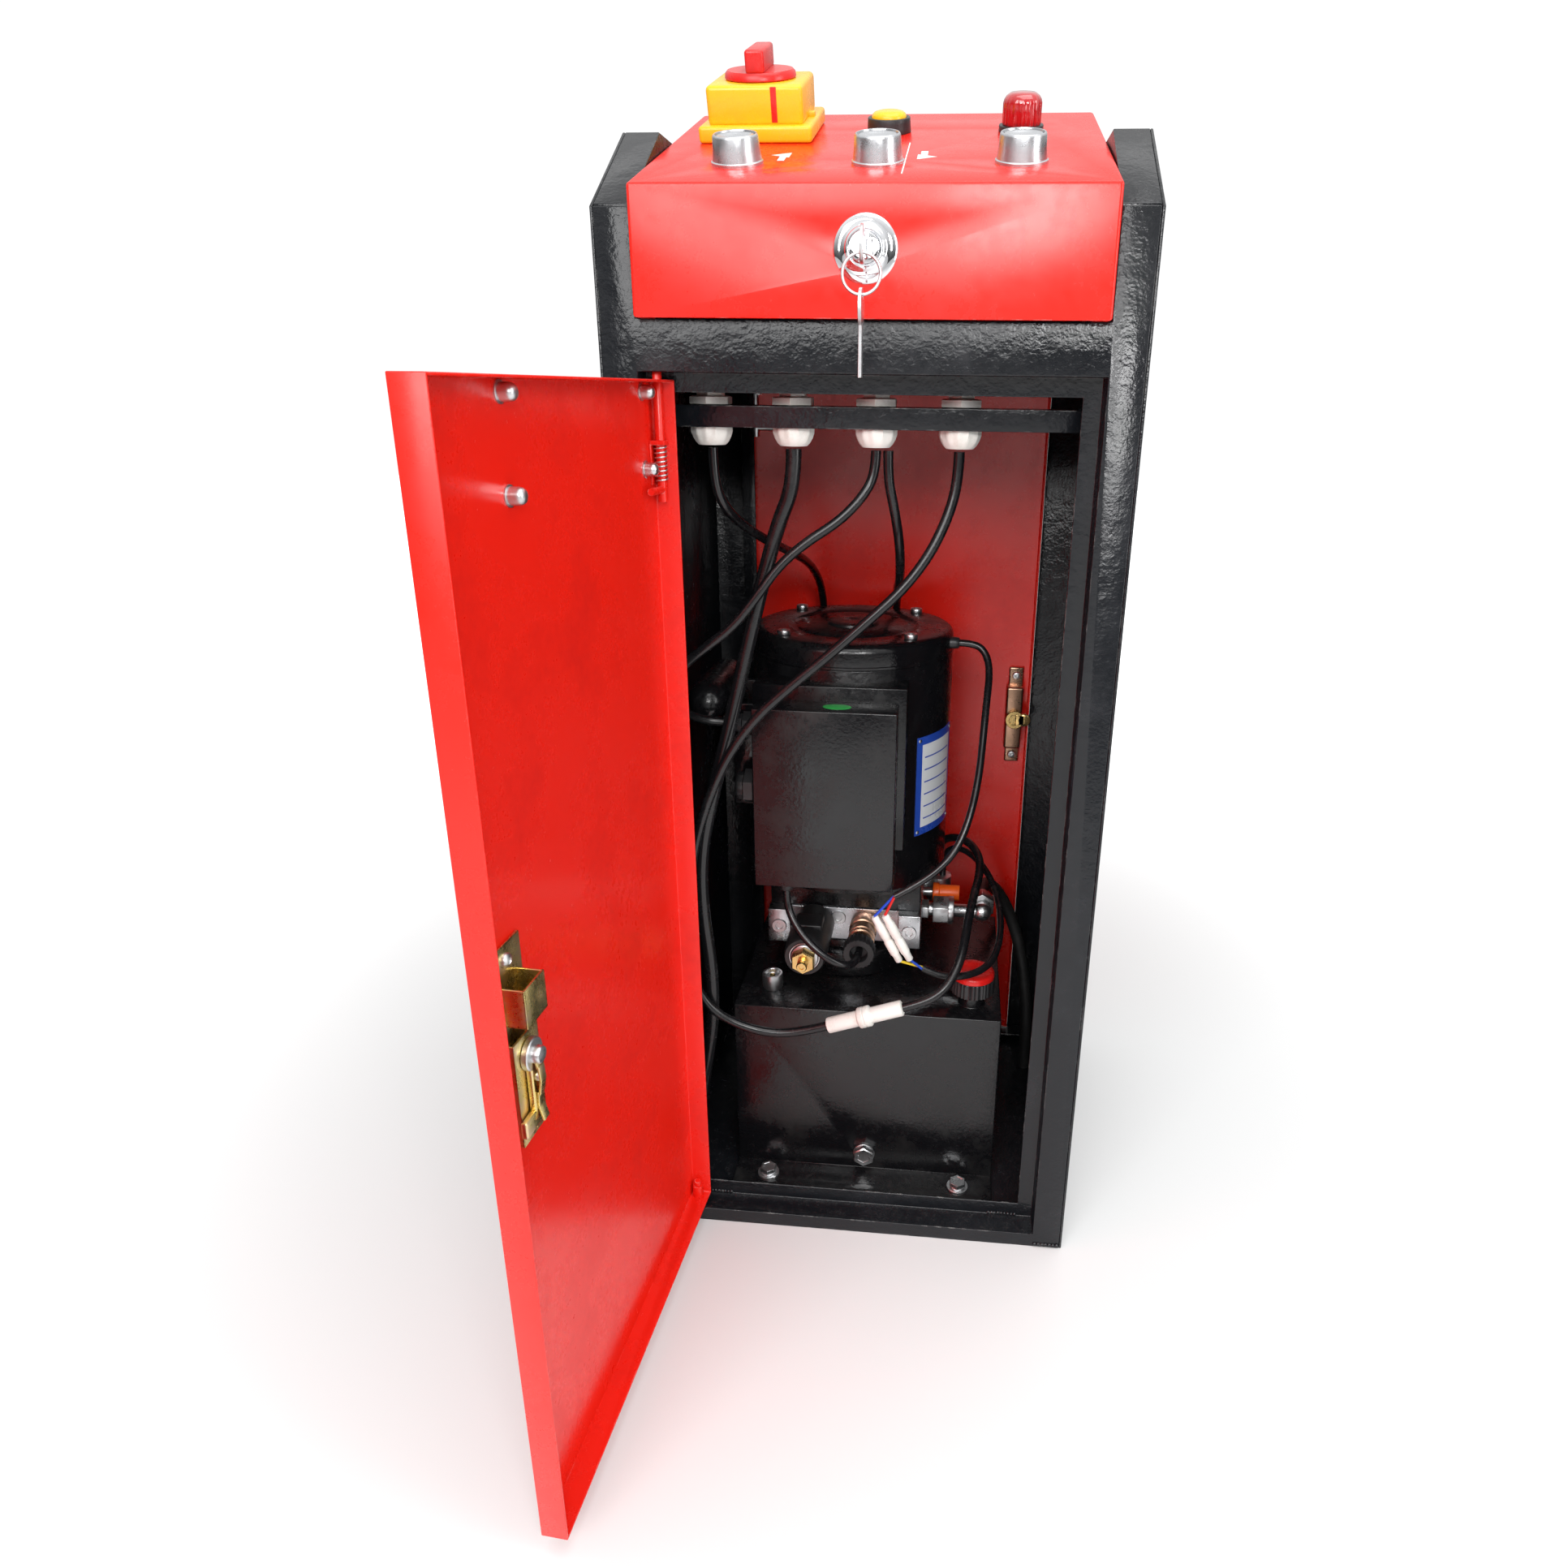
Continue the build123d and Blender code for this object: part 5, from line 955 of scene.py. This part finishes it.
fitted(joined("coil_brass_nut", [
    turned("collar", [(11.5, 60), (11.5, 62.6), (11, 63)], coil_place, zinc, 48),
    turned("hex", [(10, 63), (10.9, 63.8), (10.9, 71), (9.8, 72), (5, 72)], coil_place, brass, 6),
    turned("stud", [(4.5, 71), (4.5, 74), (4.2, 74.3), (4.5, 74.6), (4.2, 75), (4.5, 75.4), (4.5, 78),
        (3.8, 79), (2, 79), (1.7, 78), (0.3, 78)], coil_place, brass, 32)]),
    "cabinet", "brass", "coil_nut")
fitted(joined("second_valve", [
    turned("barrel", [
        (10.8, 0), (10.8, 4), (12.2, 4.6), (12.2, 12), (11, 12.6), (11, 20), (11.6, 20.6), (11.6, 23),
        (10.2, 23.6), (10.2, 26), (11.6, 26.6), (11.6, 29), (10.2, 29.6), (10.2, 32), (11.2, 33), (11.2, 38),
        (10.4, 40)], valve_place, bronze, 48),
    turned("ring", [(13.4, 40), (14, 40.8), (14, 51), (13.2, 52), (8, 52), (7.2, 51), (7.2, 44), (4, 43.6)],
        valve_place, moulding, 72, 24, 0.95)]), "cabinet", "black_plastic", "valve_connector")
softened("outlet_fittings", "outlet_adapter", zinc, 0.4)
fitted(joined("elbow_swivel", [
    turned("ball", [(3, -8.4), (5.6, -6.6), (7.6, -4), (8.6, 0), (7.6, 4), (5.6, 6.6), (3, 8.4)],
        seat(97, 27, 213, (1, 0, 0)), zinc, 40),
    turned("bend", [(6.2, 0), (6.6, 6), (7.2, 11), (8, 12), (8, 16)], seat(97, 27, 213, (0, 1, 0)),
        zinc, 40)]), "cabinet", "zinc")
orange_plastic = finish_of(
    "orange_plastic", (0.9, 0.12, 0.01), (0.8, 0.1, 0.01), (0.25, 0.4),
    grain=(900, 0.08, 60), marks=40)
softened("port_cap", "transport_cap", orange_plastic, 0.6, 3)
plug = [(6.6, 0), (6.6, 0.8), (6.2, 1.3), (3.4, 1.3), (3.2, 1), (3.2, 0.3), (0.3, 0.3)]
fitted(joined("block_port_plugs", [turned("plug", plug, seat(*spot, front), zinc, 40) for spot in (
    (-84, -20, 213), (32, -20, 213), (-32, -10, 219))]), "cabinet", "zinc")

# ---- Wiring couplings ----
# A white in-line coupling on the valve lead, and two white bullet couplings with short single wires:
# red and blue above, blue and yellow below.
wire_red = finish_of("wire_red", (0.6, 0.015, 0.01), (0.5, 0.01, 0.01), (0.3, 0.45), grain=even_grain)
wire_blue = finish_of("wire_blue", (0.01, 0.06, 0.5), (0.01, 0.05, 0.4), (0.3, 0.45), grain=even_grain)
wire_yellow = finish_of("wire_yellow", (0.75, 0.55, 0.02), (0.7, 0.5, 0.02), (0.3, 0.45), grain=even_grain)
coupling_start = Vector((-30, -107, 171))
coupling_way = Vector((32, -107, 193)) - coupling_start
reach = coupling_way.length
middle = reach / 2
fitted(turned("inline_coupling", [
    (4.4, 0), (6.2, 1), (6.5, 2.2), (6.5, middle - 6), (8.2, middle - 5), (8.6, middle - 4.4),
    (8.6, middle - 0.6), (8, middle), (8.6, middle + 0.6), (8.6, middle + 4.4), (8.2, middle + 5),
    (6.5, middle + 6), (6.5, reach - 2.2), (6.2, reach - 1), (4.4, reach)],
    seat(*coupling_start, coupling_way), nylon, 48), "cabinet", "nylon", "wire_connectors")
bullets = []
for side, shift, above, below in ((-1.4, Vector((0, 0, 0)), wire_red, wire_blue),
        (1.4, Vector((-8.5, 0.5, -2)), wire_blue, wire_yellow)):
    top, bottom = Vector((15, -97, 271)) + shift, Vector((36, -94, 230)) + shift
    size = (bottom - top).length
    bullets.append(turned("bullet", [
        (2.4, 0), (3, 0.8), (3.1, 7), (3.9, 9), (3.9, size * 0.45), (3.4, size * 0.47), (3.4, size * 0.53),
        (3.9, size * 0.55), (3.9, size - 9), (3.1, size - 7), (3, size - 0.8), (2.4, size)],
        seat(*top, bottom - top), nylon, 32))
    for start, end, colour in ((Vector((22, -95 + side, 287)), top, above),
            (bottom, Vector((46, -89 + side, 220)), below)):
        length = (end - start).length
        bullets.append(turned("wire", [(1.1, 0), (1.1, length / 2), (1.1, length)],
            seat(*start, end - start), colour, 16))
fitted(joined("bullet_couplings", bullets), "cabinet", "nylon")
